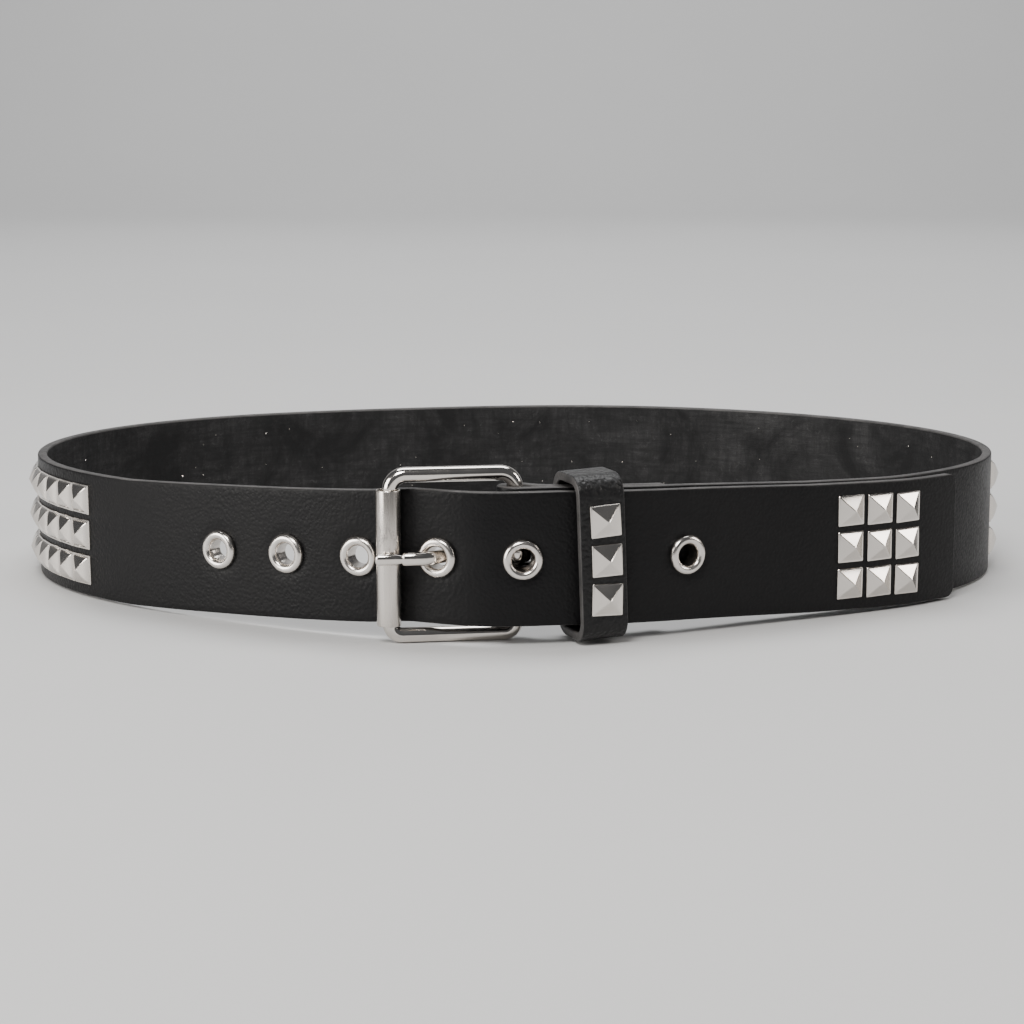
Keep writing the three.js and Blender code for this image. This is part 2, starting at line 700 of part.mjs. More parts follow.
function addKeeper() {
  const rise = keeperHeight / 2 - KEEPER_BEND;
  const front = keeperFront - KEEPER_BEND;
  const back = keeperBack + KEEPER_BEND;
  const quarter = Math.PI / 2;
  const loop = roundedLoop([
    { x: front, y: rise, radius: KEEPER_BEND, turn: 0 },
    { x: back, y: rise, radius: KEEPER_BEND, turn: quarter },
    { x: back, y: -rise, radius: KEEPER_BEND, turn: 2 * quarter },
    { x: front, y: -rise, radius: KEEPER_BEND, turn: 3 * quarter },
  ]);
  const rings = loop.map(({ centre, radius, direction }) => keeperSection(centre, radius, direction));
  addPiece('keeper', skin(rings, true), leatherMaterial, keeperPlacement());
}

// One pyramid stud on its own: a square rim and four faces that meet at a point
function studGeometry() {
  const half = STUD_BASE / 2;
  const square = (height) => [
    new THREE.Vector3(-half, height, -half),
    new THREE.Vector3(half, height, -half),
    new THREE.Vector3(half, height, half),
    new THREE.Vector3(-half, height, half),
  ];
  const points = [...square(0), ...square(STUD_RIM), new THREE.Vector3(0, STUD_HEIGHT, 0)];
  const apex = points.length - 1;
  const faces = [0, 1, 2, 0, 2, 3];
  for (let side = 0; side < 4; side += 1) {
    const next = (side + 1) % 4;
    faces.push(side, next + 4, next, side, side + 4, next + 4);
    faces.push(side + 4, apex, next + 4);
  }
  return facingOut(points.flatMap((p) => p.toArray()), faces);
}

function addTipStuds() {
  for (let column = 0; column < TIP_COLUMNS; column += 1) {
    const along = tailEndAt - TIP_MARGIN - (TIP_COLUMNS - 1 - column) * TIP_COLUMN_PITCH;
    for (let row = 0; row < STUD_ROWS; row += 1) {
      const drop = (row - (STUD_ROWS - 1) / 2) * STUD_ROW_PITCH;
      const name = `stud_tip_row_${row + 1}_column_${column + 1}`;
      const matrix = onTail(along).multiply(new THREE.Matrix4().makeTranslation(0, SEAT_GAP, drop));
      addPiece(name, studGeometry(), nickelMaterial, matrix);
    }
  }
}

function addKeeperStuds() {
  for (let row = 0; row < STUD_ROWS; row += 1) {
    const drop = (row - (STUD_ROWS - 1) / 2) * KEEPER_STUD_PITCH + KEEPER_STUD_DROP;
    const onFace = new THREE.Matrix4().makeTranslation(KEEPER_STUD_SHIFT, keeperFront + SEAT_GAP, drop);
    const matrix = keeperPlacement().multiply(onFace);
    addPiece(`stud_keeper_${row + 1}`, studGeometry(), nickelMaterial, matrix);
  }
}

// A row of the field behind: studs that meet along their rims, as one body
function studRowGeometry(row) {
  const points = [];
  const faces = [];
  const half = STUD_BASE / 2;
  const middle = STRAP_WIDTH / 2 + (row - (STUD_ROWS - 1) / 2) * STUD_ROW_PITCH;
  for (let edge = 0; edge <= fieldColumns; edge += 1) {
    const along = fieldFrontAt - edge * FIELD_PITCH;
    for (const [outwards, rise] of [[0, -half], [0, half], [STUD_RIM, half], [STUD_RIM, -half]]) {
      const place = beside(along, SEAT_GAP + outwards);
      points.push(new THREE.Vector3(place.x, place.y, liftAt(along) + middle + rise));
    }
  }
  for (let column = 0; column < fieldColumns; column += 1) {
    const along = fieldFrontAt - (column + 0.5) * FIELD_PITCH;
    const place = beside(along, SEAT_GAP + STUD_HEIGHT);
    const apex = points.push(new THREE.Vector3(place.x, place.y, liftAt(along) + middle)) - 1;
    const here = 4 * column;
    const next = here + 4;
    faces.push(here, next, next + 1, here, next + 1, here + 1);
    faces.push(here + 1, next + 1, next + 2, here + 1, next + 2, here + 2);
    faces.push(here + 3, next + 3, next, here + 3, next, here);
    faces.push(here + 2, next + 2, apex, next + 2, next + 3, apex);
    faces.push(next + 3, here + 3, apex, here + 3, here + 2, apex);
  }
  const last = 4 * fieldColumns;
  faces.push(0, 1, 2, 0, 2, 3, last, last + 2, last + 1, last, last + 3, last + 2);
  return facingOut(points.flatMap((p) => p.toArray()), faces);
}

function addStudField() {
  const names = ['stud_row_bottom', 'stud_row_middle', 'stud_row_top'];
  names.forEach((name, row) => {
    addPiece(name, studRowGeometry(row), nickelMaterial);
  });
}

addStrap();
addKeeper();
addFrame();
addRoller();
addProng();
addRivets();
addEyelets();
addTipStuds();
addKeeperStuds();
addStudField();

// The origin is the centre of the belt's box, on the surface that it stands on
const box = new THREE.Box3().setFromObject(belt, true);
const centre = box.getCenter(new THREE.Vector3());
belt.position.set(-centre.x, -centre.y, -box.min.z);
const model = new THREE.Group();
model.add(belt);

export default model;
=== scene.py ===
import math

import bmesh
import bpy
import numpy as np
from mathutils import Matrix, Vector


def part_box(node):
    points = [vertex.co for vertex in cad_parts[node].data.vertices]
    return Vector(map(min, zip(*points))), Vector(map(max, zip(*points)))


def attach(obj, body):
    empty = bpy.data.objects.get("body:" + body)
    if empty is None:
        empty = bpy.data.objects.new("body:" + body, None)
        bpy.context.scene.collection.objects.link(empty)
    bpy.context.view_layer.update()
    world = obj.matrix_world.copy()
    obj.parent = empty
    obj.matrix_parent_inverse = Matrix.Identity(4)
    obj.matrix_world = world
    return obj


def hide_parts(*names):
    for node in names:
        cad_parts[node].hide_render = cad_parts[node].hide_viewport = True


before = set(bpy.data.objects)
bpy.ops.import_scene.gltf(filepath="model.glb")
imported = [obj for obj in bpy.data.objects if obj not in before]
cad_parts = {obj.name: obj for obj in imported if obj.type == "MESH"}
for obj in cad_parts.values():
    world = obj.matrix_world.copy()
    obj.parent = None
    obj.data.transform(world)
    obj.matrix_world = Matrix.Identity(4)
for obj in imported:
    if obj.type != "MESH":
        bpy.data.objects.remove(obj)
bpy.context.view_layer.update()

# Sizes in millimetres, as in the part's source; meshes are turned to metres when they are made
MM = 0.001

# Loop and leather
LOOP_GIRTH = 850.0
STRAP_WIDTH = 38.1
STRAP_THICKNESS = 3.0
EDGE_ROUNDING = 0.55
TAIL_GAP = 2.2
TIP_STAND = 0.8
TIP_STAND_RUN = 45.0
TAIL_CORNER_RADIUS = 3.2
FIT_GAP = 0.3
FLAP_SEAM = 0.3
LOOP_WAVES = [
    {"waves": 2, "even": -0.143, "odd": -0.025},
    {"waves": 3, "even": 0.0265, "odd": 0.0},
    {"waves": 4, "even": 0.0345, "odd": -0.0095},
    {"waves": 5, "even": 0.0065, "odd": 0.0015},
]
LIFT_PLACES = [-0.4, -0.25, -0.152, -0.116, -0.076, -0.05, -0.035, 0.014, 0.064, 0.109, 0.15, 0.25, 0.4]
LIFT_SHARES = [0.0, 0.04, 0.13, 0.365, 0.605, 0.78, 0.96, 0.96, 0.68, 0.355, 0.16, 0.06, 0.0]
MAIN_LAYER_LIFT = 1.075

# Buckle
WIRE_DIAMETER = 4.4
WIRE_SIDES = 28
FRAME_HEADROOM = 1.65
FRAME_RUN = 35.6
FRAME_TOP_BEND = 4.5
FRAME_FOOT_BEND = 3.4
HEEL_AT = 0.8
ROLLER_DIAMETER = 6.9
ROLLER_WALL = 0.4
ROLLER_FOOT_GAP = 0.75
ROLLER_TOP_GAP = 1.95
ROLLER_HANG = 0.4
ROLLER_SEAM_WIDTH = 0.25
PRONG_THICKNESS = 3.0
PRONG_HEIGHT = 3.9
PRONG_TIP_THICKNESS = 2.2
PRONG_TIP_HEIGHT = 3.2
PRONG_TIP_REACH = 4.2
PRONG_FLAT_RUN = 7.0
PRONG_LEAN = math.radians(22)
PRONG_BEND = 5.0
KNUCKLE_WALL = 1.8
KNUCKLE_HEIGHT = 4.2
SLOT_CLEARANCE = 0.9

# Folded-back buckle end
FLAP_LENGTH = 46.2
FLAP_CLOSE_RUN = 10.5
RIVET_HEAD_DIAMETER = 6.0
RIVET_SHANK_DIAMETER = 3.0
RIVET_RUN = 35.7
RIVET_SPACING = 19.0

# Eyelets
EYELET_DIAMETER = 11.6
EYELET_BORE = 6.4
EYELET_CROWN = 1.5
EYELET_DENT = 0.35
EYELET_DENT_INSIDE = 0.6
EYELET_DENT_OUTSIDE = 2.4
EYELET_SIDES = 64
EYELET_PITCH = 23.75
EYELET_STEPS = [-3, -2, -1, 0, 0.98, 1.94, 3]
PRONG_EYELET_FROM_ROLLER = 13.3

# Keeper
KEEPER_RUN = 21.1
KEEPER_WIDTH = 13.7
KEEPER_THICKNESS = 2.6
KEEPER_HEADROOM = 1.75
KEEPER_BEND = 6.0
KEEPER_TURN = math.radians(2)
KEEPER_LEAN = math.radians(2.3)
KEEPER_SAG = 0.45
KEEPER_STUD_DROP = 0.2
KEEPER_STUD_SHIFT = 0.9
KEEPER_STUD_STRAY = [-0.1, 0.0, -0.3]
KEEPER_STUD_SPIN = [2.2, 0.0, -2.0]

# Pyramid studs
STUD_BASE = 9.1
STUD_TOP = 3.0
STUD_HOLLOW = 1.08
FIELD_STUD_HOLLOW = 0.64
STUD_PRONG_ALONG = 1.6
STUD_PRONG_UP = 1.7
STUD_PRONG_HIDDEN = 0.78
STUD_ROWS = 3
STUD_ROW_PITCH = 10.95
KEEPER_STUD_PITCH = 11.2
TIP_COLUMNS = 3
TIP_COLUMN_PITCH = 10.45
TIP_MARGIN = 21.0
TIP_RUN = 98.5
FIELD_PITCH = 9.42
FIELD_FROM_EYELET = 54.9
FIELD_FROM_TAIL = 45.7

bar_radius = WIRE_DIAMETER / 2
roller_radius = ROLLER_DIAMETER / 2
fold_radius = bar_radius + FIT_GAP + STRAP_THICKNESS
tail_offset = TAIL_GAP + STRAP_THICKNESS
flap_depth = 2 * STRAP_THICKNESS + FLAP_SEAM
roller_at = HEEL_AT - FRAME_RUN
ramp_end_at = HEEL_AT - fold_radius
prong_eyelet_at = roller_at + PRONG_EYELET_FROM_ROLLER
keeper_at = HEEL_AT + KEEPER_RUN
eyelet_places = [prong_eyelet_at + steps * EYELET_PITCH for steps in EYELET_STEPS]
tail_end_at = eyelet_places[-1] + TIP_RUN
field_front_at = eyelet_places[0] - FIELD_FROM_EYELET
field_space = LOOP_GIRTH + field_front_at - (tail_end_at + FIELD_FROM_TAIL)
field_columns = int(field_space // FIELD_PITCH)
buckle_lift = WIRE_DIAMETER + FRAME_HEADROOM
frame_height = STRAP_WIDTH + 2 * buckle_lift
roller_foot = WIRE_DIAMETER + ROLLER_FOOT_GAP
roller_length = frame_height - roller_foot - WIRE_DIAMETER - ROLLER_TOP_GAP
keeper_headroom = KEEPER_HEADROOM + KEEPER_WIDTH / 2 * math.tan(KEEPER_LEAN)
keeper_height = STRAP_WIDTH + 2 * (keeper_headroom + KEEPER_THICKNESS)
UP = np.array([0.0, 0.0, 1.0])


# Plan outline of the loop

def measure_outline():
    turns = np.linspace(0, 2 * math.pi, 2881)
    radius = np.ones_like(turns)
    for wave in LOOP_WAVES:
        radius += wave["even"] * np.cos(wave["waves"] * turns)
        radius += wave["odd"] * np.sin(wave["waves"] * turns)
    points = np.stack([radius * np.sin(turns), -radius * np.cos(turns)], axis=1)
    steps = np.linalg.norm(np.diff(points, axis=0), axis=1)
    lengths = np.concatenate([[0], np.cumsum(steps)])
    scale = LOOP_GIRTH / lengths[-1]
    return points * scale, lengths * scale


OUTLINE_POINTS, OUTLINE_LENGTHS = measure_outline()


def outline_point(along):
    length = np.mod(along, LOOP_GIRTH)
    x = np.interp(length, OUTLINE_LENGTHS, OUTLINE_POINTS[:, 0])
    y = np.interp(length, OUTLINE_LENGTHS, OUTLINE_POINTS[:, 1])
    return np.stack([x, y], axis=-1)


def unit(vectors):
    return vectors / np.linalg.norm(vectors, axis=-1, keepdims=True)


def tangent_of(curve, at, probe=0.5):
    return unit(curve(at + probe) - curve(at - probe))


def right_of(direction):
    return np.stack([direction[..., 1], -direction[..., 0]], axis=-1)


def left_of(direction):
    return -right_of(direction)


def beside(along, outwards):
    out = right_of(tangent_of(outline_point, along))
    return outline_point(along) + out * np.expand_dims(outwards, -1)


def smooth_step(value, low, high):
    share = np.clip((value - low) / (high - low), 0, 1)
    return share * share * (3 - 2 * share)


def tail_stand(along):
    ramp = tail_offset * smooth_step(along, roller_at, ramp_end_at)
    return ramp + TIP_STAND * smooth_step(along, tail_end_at - TIP_STAND_RUN, tail_end_at)


def tail_face(along):
    return beside(along, tail_stand(along))


def lift_at(along):
    half = LOOP_GIRTH / 2
    place = (np.mod(along + half, LOOP_GIRTH) - half) / LOOP_GIRTH
    return buckle_lift * np.interp(place, LIFT_PLACES, LIFT_SHARES)


heel_out = right_of(tangent_of(outline_point, HEEL_AT))
heel_right = tangent_of(outline_point, HEEL_AT)
heel_bar = beside(HEEL_AT, -(STRAP_THICKNESS + FIT_GAP + bar_radius))
roller_centre = beside(roller_at, FIT_GAP + roller_radius)
frame_right = unit(heel_bar - roller_centre)
frame_out = right_of(frame_right)
roller_bar = roller_centre + frame_right * ROLLER_HANG
prong_level = float(lift_at(prong_eyelet_at)) + STRAP_WIDTH / 2

# The loop's own origin in the frame, found from the roller, in metres
roller_low, roller_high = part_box("buckle_roller")
loop_origin = np.array([*((roller_low + roller_high) / 2).xy, 0.0])
loop_origin[:2] -= roller_centre * MM


# Mesh making

def make_object(name, points, faces, materials, face_materials=None, uv=None, sharp=40):
    """points are in millimetres in the loop's place; uv holds a pair for each face corner."""
    mesh = bpy.data.meshes.new(name)
    mesh.from_pydata((np.asarray(points) * MM + loop_origin).tolist(), [], faces)
    for material in materials:
        mesh.materials.append(material)
    if face_materials is not None:
        mesh.polygons.foreach_set("material_index", face_materials)
    if uv is not None:
        layer = mesh.uv_layers.new(name="lengths")
        layer.data.foreach_set("uv", np.asarray(uv, dtype=np.float32).ravel())
    mesh.validate()
    mesh.shade_smooth()
    mesh.set_sharp_from_angle(angle=math.radians(sharp))
    made = bpy.data.objects.new(name, mesh)
    bpy.context.scene.collection.objects.link(made)
    return made


def sweep_faces(runs, sides, closed):
    """Quads between rings of points, with flat caps on an open run."""
    faces = []
    for run in range(runs if closed else runs - 1):
        here = run * sides
        beyond = ((run + 1) % runs) * sides
        for side in range(sides):
            after = (side + 1) % sides
            faces.append((here + side, beyond + side, beyond + after, here + after))
    if not closed:
        faces.append(tuple(range(sides)))
        faces.append(tuple((runs - 1) * sides + side for side in reversed(range(sides))))
    return faces


def face_outwards(made):
    """Turns the faces over where they point into the closed mesh."""
    shape = bmesh.new()
    shape.from_mesh(made.data)
    bmesh.ops.recalc_face_normals(shape, faces=shape.faces)
    if shape.calc_volume(signed=True) < 0:
        bmesh.ops.reverse_faces(shape, faces=shape.faces)
    shape.to_mesh(made.data)
    shape.free()
    return made


def lathe(profile, sides):
    """Rings of (radius, height) turned round the local height axis: points (across, height, up)."""
    turns = np.arange(sides) * 2 * math.pi / sides
    rings = []
    for radius, height in profile:
        ring = np.stack([radius * np.cos(turns), np.full(sides, height), radius * np.sin(turns)], axis=1)
        rings.append(ring)
    return np.array(rings)


def place(points, origin, out, level):
    """Local (along, outwards, up) points set at a plan point and level, facing a plan direction."""
    out3 = np.array([out[0], out[1], 0.0])
    along3 = np.array([-out[1], out[0], 0.0])
    points = np.asarray(points).reshape(-1, 3)
    base = np.array([origin[0], origin[1], level])
    return base + points[:, :1] * along3 + points[:, 1:2] * out3 + points[:, 2:3] * UP


def add_piece(made, body, slot, *nodes):
    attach(made, body)
    if nodes:
        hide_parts(*nodes)
    return made


# Material building blocks

class Shade:
    """A material's node tree, with short calls for the nodes used here."""

    def __init__(self, name):
        self.material = bpy.data.materials.new(name)
        self.material.use_nodes = True
        self.tree = self.material.node_tree
        self.bsdf = self.tree.nodes["Principled BSDF"]

    def node(self, kind, **values):
        made = self.tree.nodes.new(kind)
        for key, value in values.items():
            setattr(made, key, value)
        return made

    def link(self, source, target):
        self.tree.links.new(source, target)

    def coordinates(self, kind, scale):
        source = self.node("ShaderNodeTexCoord")
        mapping = self.node("ShaderNodeMapping")
        mapping.inputs["Scale"].default_value = scale
        self.link(source.outputs[kind], mapping.inputs["Vector"])
        return mapping.outputs["Vector"]

    def noise(self, vector, scale, detail=4.0, roughness=0.55, distortion=0.0):
        made = self.node("ShaderNodeTexNoise")
        self.link(vector, made.inputs["Vector"])
        made.inputs["Scale"].default_value = scale
        made.inputs["Detail"].default_value = detail
        made.inputs["Roughness"].default_value = roughness
        made.inputs["Distortion"].default_value = distortion
        return made.outputs["Fac"]

    def cells(self, vector, scale, feature="F1", randomness=1.0):
        made = self.node("ShaderNodeTexVoronoi", feature=feature)
        self.link(vector, made.inputs["Vector"])
        made.inputs["Scale"].default_value = scale
        made.inputs["Randomness"].default_value = randomness
        return made.outputs["Distance"]

    def ramp(self, value, low, high, start, end):
        """Maps value from low..high to start..end, held at the ends."""
        made = self.node("ShaderNodeMapRange")
        self.link(value, made.inputs["Value"])
        for key, number in (("From Min", low), ("From Max", high), ("To Min", start), ("To Max", end)):
            made.inputs[key].default_value = number
        return made.outputs["Result"]

    def blend(self, share, first, second):
        made = self.node("ShaderNodeMix", data_type="RGBA")
        self.link(share, made.inputs["Factor"])
        made.inputs["A"].default_value = (*first, 1)
        made.inputs["B"].default_value = (*second, 1)
        return made.outputs["Result"]

    def combine(self, kind, first, second):
        made = self.node("ShaderNodeMath", operation=kind)
        for socket, value in zip(made.inputs, (first, second)):
            if isinstance(value, (int, float)):
                socket.default_value = value
            else:
                self.link(value, socket)
        return made.outputs["Value"]

    def bump(self, height, distance, strength=1.0, under=None):
        made = self.node("ShaderNodeBump")
        made.inputs["Strength"].default_value = strength
        made.inputs["Distance"].default_value = distance
        self.link(height, made.inputs["Height"])
        if under is not None:
            self.link(under, made.inputs["Normal"])
        return made.outputs["Normal"]

    def finish(self, colour, roughness, normal, **constants):
        self.link(colour, self.bsdf.inputs["Base Color"])
        self.link(roughness, self.bsdf.inputs["Roughness"])
        self.link(normal, self.bsdf.inputs["Normal"])
        for key, value in constants.items():
            self.bsdf.inputs[key.replace("_", " ")].default_value = value
        return self.material


def grain_leather(name, cell, depth, rough_low, rough_high, specular):
    """Black leather with a pebbled grain: cell is the pebbles' size in metres."""
    shade = Shade(name)
    spot = shade.coordinates("Object", (1, 1, 1))
    pebbles = shade.cells(spot, 1 / cell, "SMOOTH_F1")
    fine = shade.noise(spot, 2.4 / cell, 3.0)
    patches = shade.noise(spot, 45.0, 5.0)
    creases = shade.noise(shade.coordinates("Object", (1, 1, 2.5)), 300.0, 5.0, 0.65, 1.5)
    colour = shade.blend(patches, (0.0035, 0.0035, 0.0042), (0.0075, 0.0072, 0.0074))
    rough = shade.combine("ADD", shade.ramp(patches, 0.3, 0.7, rough_low, rough_high),
                          shade.ramp(pebbles, 0.1, 0.8, -0.05, 0.1))
    normal = shade.bump(creases, depth, 0.2)
    normal = shade.bump(pebbles, depth, 1.0, normal)
    normal = shade.bump(fine, depth * 0.5, 0.6, normal)
    return shade.finish(colour, rough, normal, Specular_IOR_Level=specular)


def edge_leather():
    """The cut edge, dyed dark and rubbed to a greyer tone with fine fibres along it."""
    shade = Shade("leather_edge")
    spot = shade.coordinates("Object", (1, 1, 1))
    wear = shade.noise(spot, 140.0, 5.0, 0.6)
    fibre = shade.noise(spot, 1500.0, 3.0, 0.6)
    colour = shade.blend(shade.ramp(wear, 0.35, 0.7, 0, 1), (0.03, 0.029, 0.029), (0.07, 0.066, 0.065))
    rough = shade.ramp(fibre, 0.3, 0.7, 0.42, 0.66)
    normal = shade.bump(fibre, 0.00008, 0.8)
    return shade.finish(colour, rough, normal, Specular_IOR_Level=0.4)


def split_leather():
    """The rough side: fibres along and across the strap, pale lint, and blotchy rubbed patches that are glossier and
    also painted lighter as a painted sheen.
    """
    shade = Shade("leather_inside")
    streaks = shade.noise(shade.coordinates("UV", (1, 9, 1)), 60.0, 7.0, 0.75)
    uprights = shade.noise(shade.coordinates("UV", (7, 1, 1)), 80.0, 6.0, 0.75)
    spot = shade.coordinates("Object", (1, 1, 1))
    nap = shade.noise(spot, 1100.0, 5.0, 0.75)
    blotches = shade.noise(spot, 38.0, 6.0, 0.7, 0.6)
    lint = shade.noise(spot, 520.0, 5.0, 0.8, 1.0)
    along = shade.ramp(streaks, 0.36, 0.66, 0.15, 1.0)
    across = shade.ramp(uprights, 0.36, 0.66, 0.2, 1.0)
    # Rubbed blotches: the lower roughness gives them real gloss, and the lighter colour they give the fibres and
    # lint is partly wear and partly painted sheen
    wear_and_painted_sheen = shade.ramp(blotches, 0.4, 0.62, 0.1, 1.0)
    fibres = shade.combine("MULTIPLY", shade.combine("MULTIPLY", along, across), wear_and_painted_sheen)
    specks = shade.combine("MULTIPLY", shade.ramp(lint, 0.56, 0.72, 0.0, 1.0), wear_and_painted_sheen)
    tone = shade.combine("ADD", fibres, specks)
    colour = shade.blend(tone, (0.004, 0.004, 0.0045), (0.04, 0.039, 0.04))
    rough = shade.ramp(blotches, 0.38, 0.68, 0.8, 0.5)
    normal = shade.bump(streaks, 0.0004, 0.7)
    normal = shade.bump(uprights, 0.0003, 0.5, normal)
    normal = shade.bump(nap, 0.0002, 0.9, normal)
    return shade.finish(colour, rough, normal, Specular_IOR_Level=0.3)


def nickel(name, base, rough_low, rough_high):
    """Bright nickel plate, with a faint change of gloss and fine scratches."""
    shade = Shade(name)
    spot = shade.coordinates("Object", (1, 1, 1))
    wear = shade.noise(spot, 120.0, 3.0, 0.5)
    scratch = shade.noise(shade.coordinates("Object", (1, 1, 9)), 500.0, 3.0, 0.7, 0.4)
    fine = shade.noise(spot, 1900.0, 2.0)
    darker = tuple(0.93 * value for value in base)
    colour = shade.blend(shade.ramp(wear, 0.3, 0.65, 0, 1), darker, base)
    rough = shade.combine("ADD", shade.ramp(wear, 0.35, 0.7, rough_low, rough_high),
                          shade.ramp(scratch, 0.5, 0.7, 0.0, 0.03))
    normal = shade.bump(fine, 0.000006, 0.3)
    return shade.finish(colour, rough, normal, Metallic=1.0)


def roller_metal():
    """Rolled nickel tube: upright drawing streaks, and a dull gritty patch on the upper half."""
    shade = Shade("roller_nickel")
    streaks = shade.noise(shade.coordinates("Object", (1, 1, 0.015)), 1500.0, 3.0, 0.6)
    patch = shade.noise(shade.coordinates("Object", (1, 1, 0.3)), 190.0, 4.0, 0.6)
    grit = shade.noise(shade.coordinates("Object", (1, 1, 0.6)), 2400.0, 3.0, 0.7)
    height = shade.node("ShaderNodeSeparateXYZ")
    shade.link(shade.coordinates("Object", (1, 1, 1)), height.inputs["Vector"])
    upper = shade.ramp(height.outputs["Z"], 0.024, 0.03, 0.0, 1.0)
    spots = shade.combine("MULTIPLY", shade.ramp(patch, 0.5, 0.58, 0, 1), shade.ramp(grit, 0.4, 0.6, 0.3, 1))
    dull = shade.combine("MULTIPLY", spots, upper)
    colour = shade.blend(dull, (0.7, 0.655, 0.61), (0.3, 0.285, 0.27))
    rough = shade.combine("ADD", shade.ramp(dull, 0, 1, 0.2, 0.4), shade.ramp(streaks, 0.35, 0.65, 0.0, 0.1))
    normal = shade.bump(streaks, 0.00003, 0.5)
    return shade.finish(colour, rough, normal, Metallic=1.0, Anisotropic=0.3)


GRAIN = grain_leather("leather_grain", 0.0009, 0.00012, 0.36, 0.46, 0.18)
COARSE_GRAIN = grain_leather("leather_keeper_grain", 0.0011, 0.0003, 0.28, 0.4, 0.32)
EDGE = edge_leather()
SPLIT = split_leather()
NICKEL = nickel("nickel", (0.75, 0.71, 0.665), 0.09, 0.14)
EYELET_NICKEL = nickel("eyelet_nickel", (0.74, 0.7, 0.66), 0.2, 0.26)
STUD_NICKEL = nickel("stud_nickel", (0.73, 0.69, 0.645), 0.15, 0.22)
ROLLER = roller_metal()


# Strap

LEATHER_SLOTS = {"grain": 0, "edge": 1, "split": 2}


def lengths_along(points, closed=False):
    """Metres from the first point to each one, and back round to it on a closed outline."""
    route = np.vstack([points, points[:1]]) if closed else points
    steps = np.linalg.norm(np.diff(route, axis=0), axis=1)
    return np.concatenate([[0], np.cumsum(steps)]) * MM


def quad_lengths(lengths, around, run, side):
    """The corners of one quad as (length along, length around)."""
    here, beyond = lengths[run], lengths[run + 1]
    low, high = around[side], around[side + 1]
    return [(here, low), (beyond, low), (beyond, high), (here, high)]


def rounded_section(thickness, height, rounding, bend_steps, front_steps, back_steps):
    """Outline of a strap section as (depth, rise), with the kind of leather of each side after a point."""
    points = []
    kinds = []

    def corner(depth, rise, start, first, last):
        for step in range(bend_steps + 1):
            turn = start + step / bend_steps * math.pi / 2
            points.append((depth - rounding * math.cos(turn), rise + rounding * math.sin(turn)))
            kinds.append(first if step < bend_steps / 2 else last)

    def straight(first, last, steps, kind):
        kinds[-1] = kind
        for step in range(1, steps):
            share = step / steps
            points.append(tuple(a + (b - a) * share for a, b in zip(first, last)))
            kinds.append(kind)

    corner(rounding, height - rounding, 0.0, "grain", "edge")
    corner(thickness - rounding, height - rounding, math.pi / 2, "edge", "edge")
    straight((thickness, height - rounding), (thickness, rounding), back_steps, "split")
    corner(thickness - rounding, rounding, math.pi, "edge", "edge")
    corner(rounding, rounding, 1.5 * math.pi, "edge", "grain")
    straight((0, rounding), (0, height - rounding), front_steps, "grain")
    return np.array(points), kinds


def flap_face(travel):
    along = HEEL_AT + FLAP_LENGTH - travel
    closing = smooth_step(along, HEEL_AT + bar_radius / 2, HEEL_AT + FLAP_CLOSE_RUN)
    return beside(along, -(2 * fold_radius + (flap_depth - 2 * fold_radius) * closing))


def worn_face(along):
    return beside(along, tail_stand(along - LOOP_GIRTH))


def strap_route(step):
    """Plan points of the grain side from the flap's cut end to the tail's end, with what each needs."""
    travel = np.arange(0, FLAP_LENGTH, step)
    faces = [flap_face(travel)]
    inwards = [left_of(tangent_of(flap_face, travel))]
    lifts = [MAIN_LAYER_LIFT * lift_at(HEEL_AT + FLAP_LENGTH - travel)]
    places = [np.full(len(travel), np.nan)]
    turns = np.linspace(0, math.pi, 17)
    spoke = heel_out * np.cos(turns)[:, None] + heel_right * np.sin(turns)[:, None]
    faces.append(heel_bar - fold_radius * spoke)
    inwards.append(spoke)
    lifts.append(np.full(len(turns), MAIN_LAYER_LIFT * lift_at(HEEL_AT)))
    places.append(np.full(len(turns), np.nan))
    tail_end = LOOP_GIRTH + tail_end_at
    along = np.arange(HEEL_AT + step, tail_end - TAIL_CORNER_RADIUS, step)
    ends = tail_end - TAIL_CORNER_RADIUS * (1 - np.sin(np.linspace(0, math.pi / 2, 15)))
    along = np.concatenate([along, ends])
    faces.append(worn_face(along))
    inwards.append(left_of(tangent_of(worn_face, along)))
    layer = np.where(along < LOOP_GIRTH / 2, MAIN_LAYER_LIFT, 1.0)
    lifts.append(layer * lift_at(along))
    places.append(along)
    return (np.concatenate(part) for part in (faces, inwards, lifts, places))


def eyelet_dents(along, across):
    """Depth of the leather pressed in round the eyelets, in the single layer and the tail."""
    depth = np.zeros(np.broadcast(along, across).shape)
    start, end = EYELET_DIAMETER / 2 - EYELET_DENT_INSIDE, EYELET_DIAMETER / 2 + EYELET_DENT_OUTSIDE
    for spot in eyelet_places:
        radius = np.hypot(along - LOOP_GIRTH - spot, across)
        depth = np.maximum(depth, EYELET_DENT * (1 - smooth_step(radius, start, end)))
    return depth


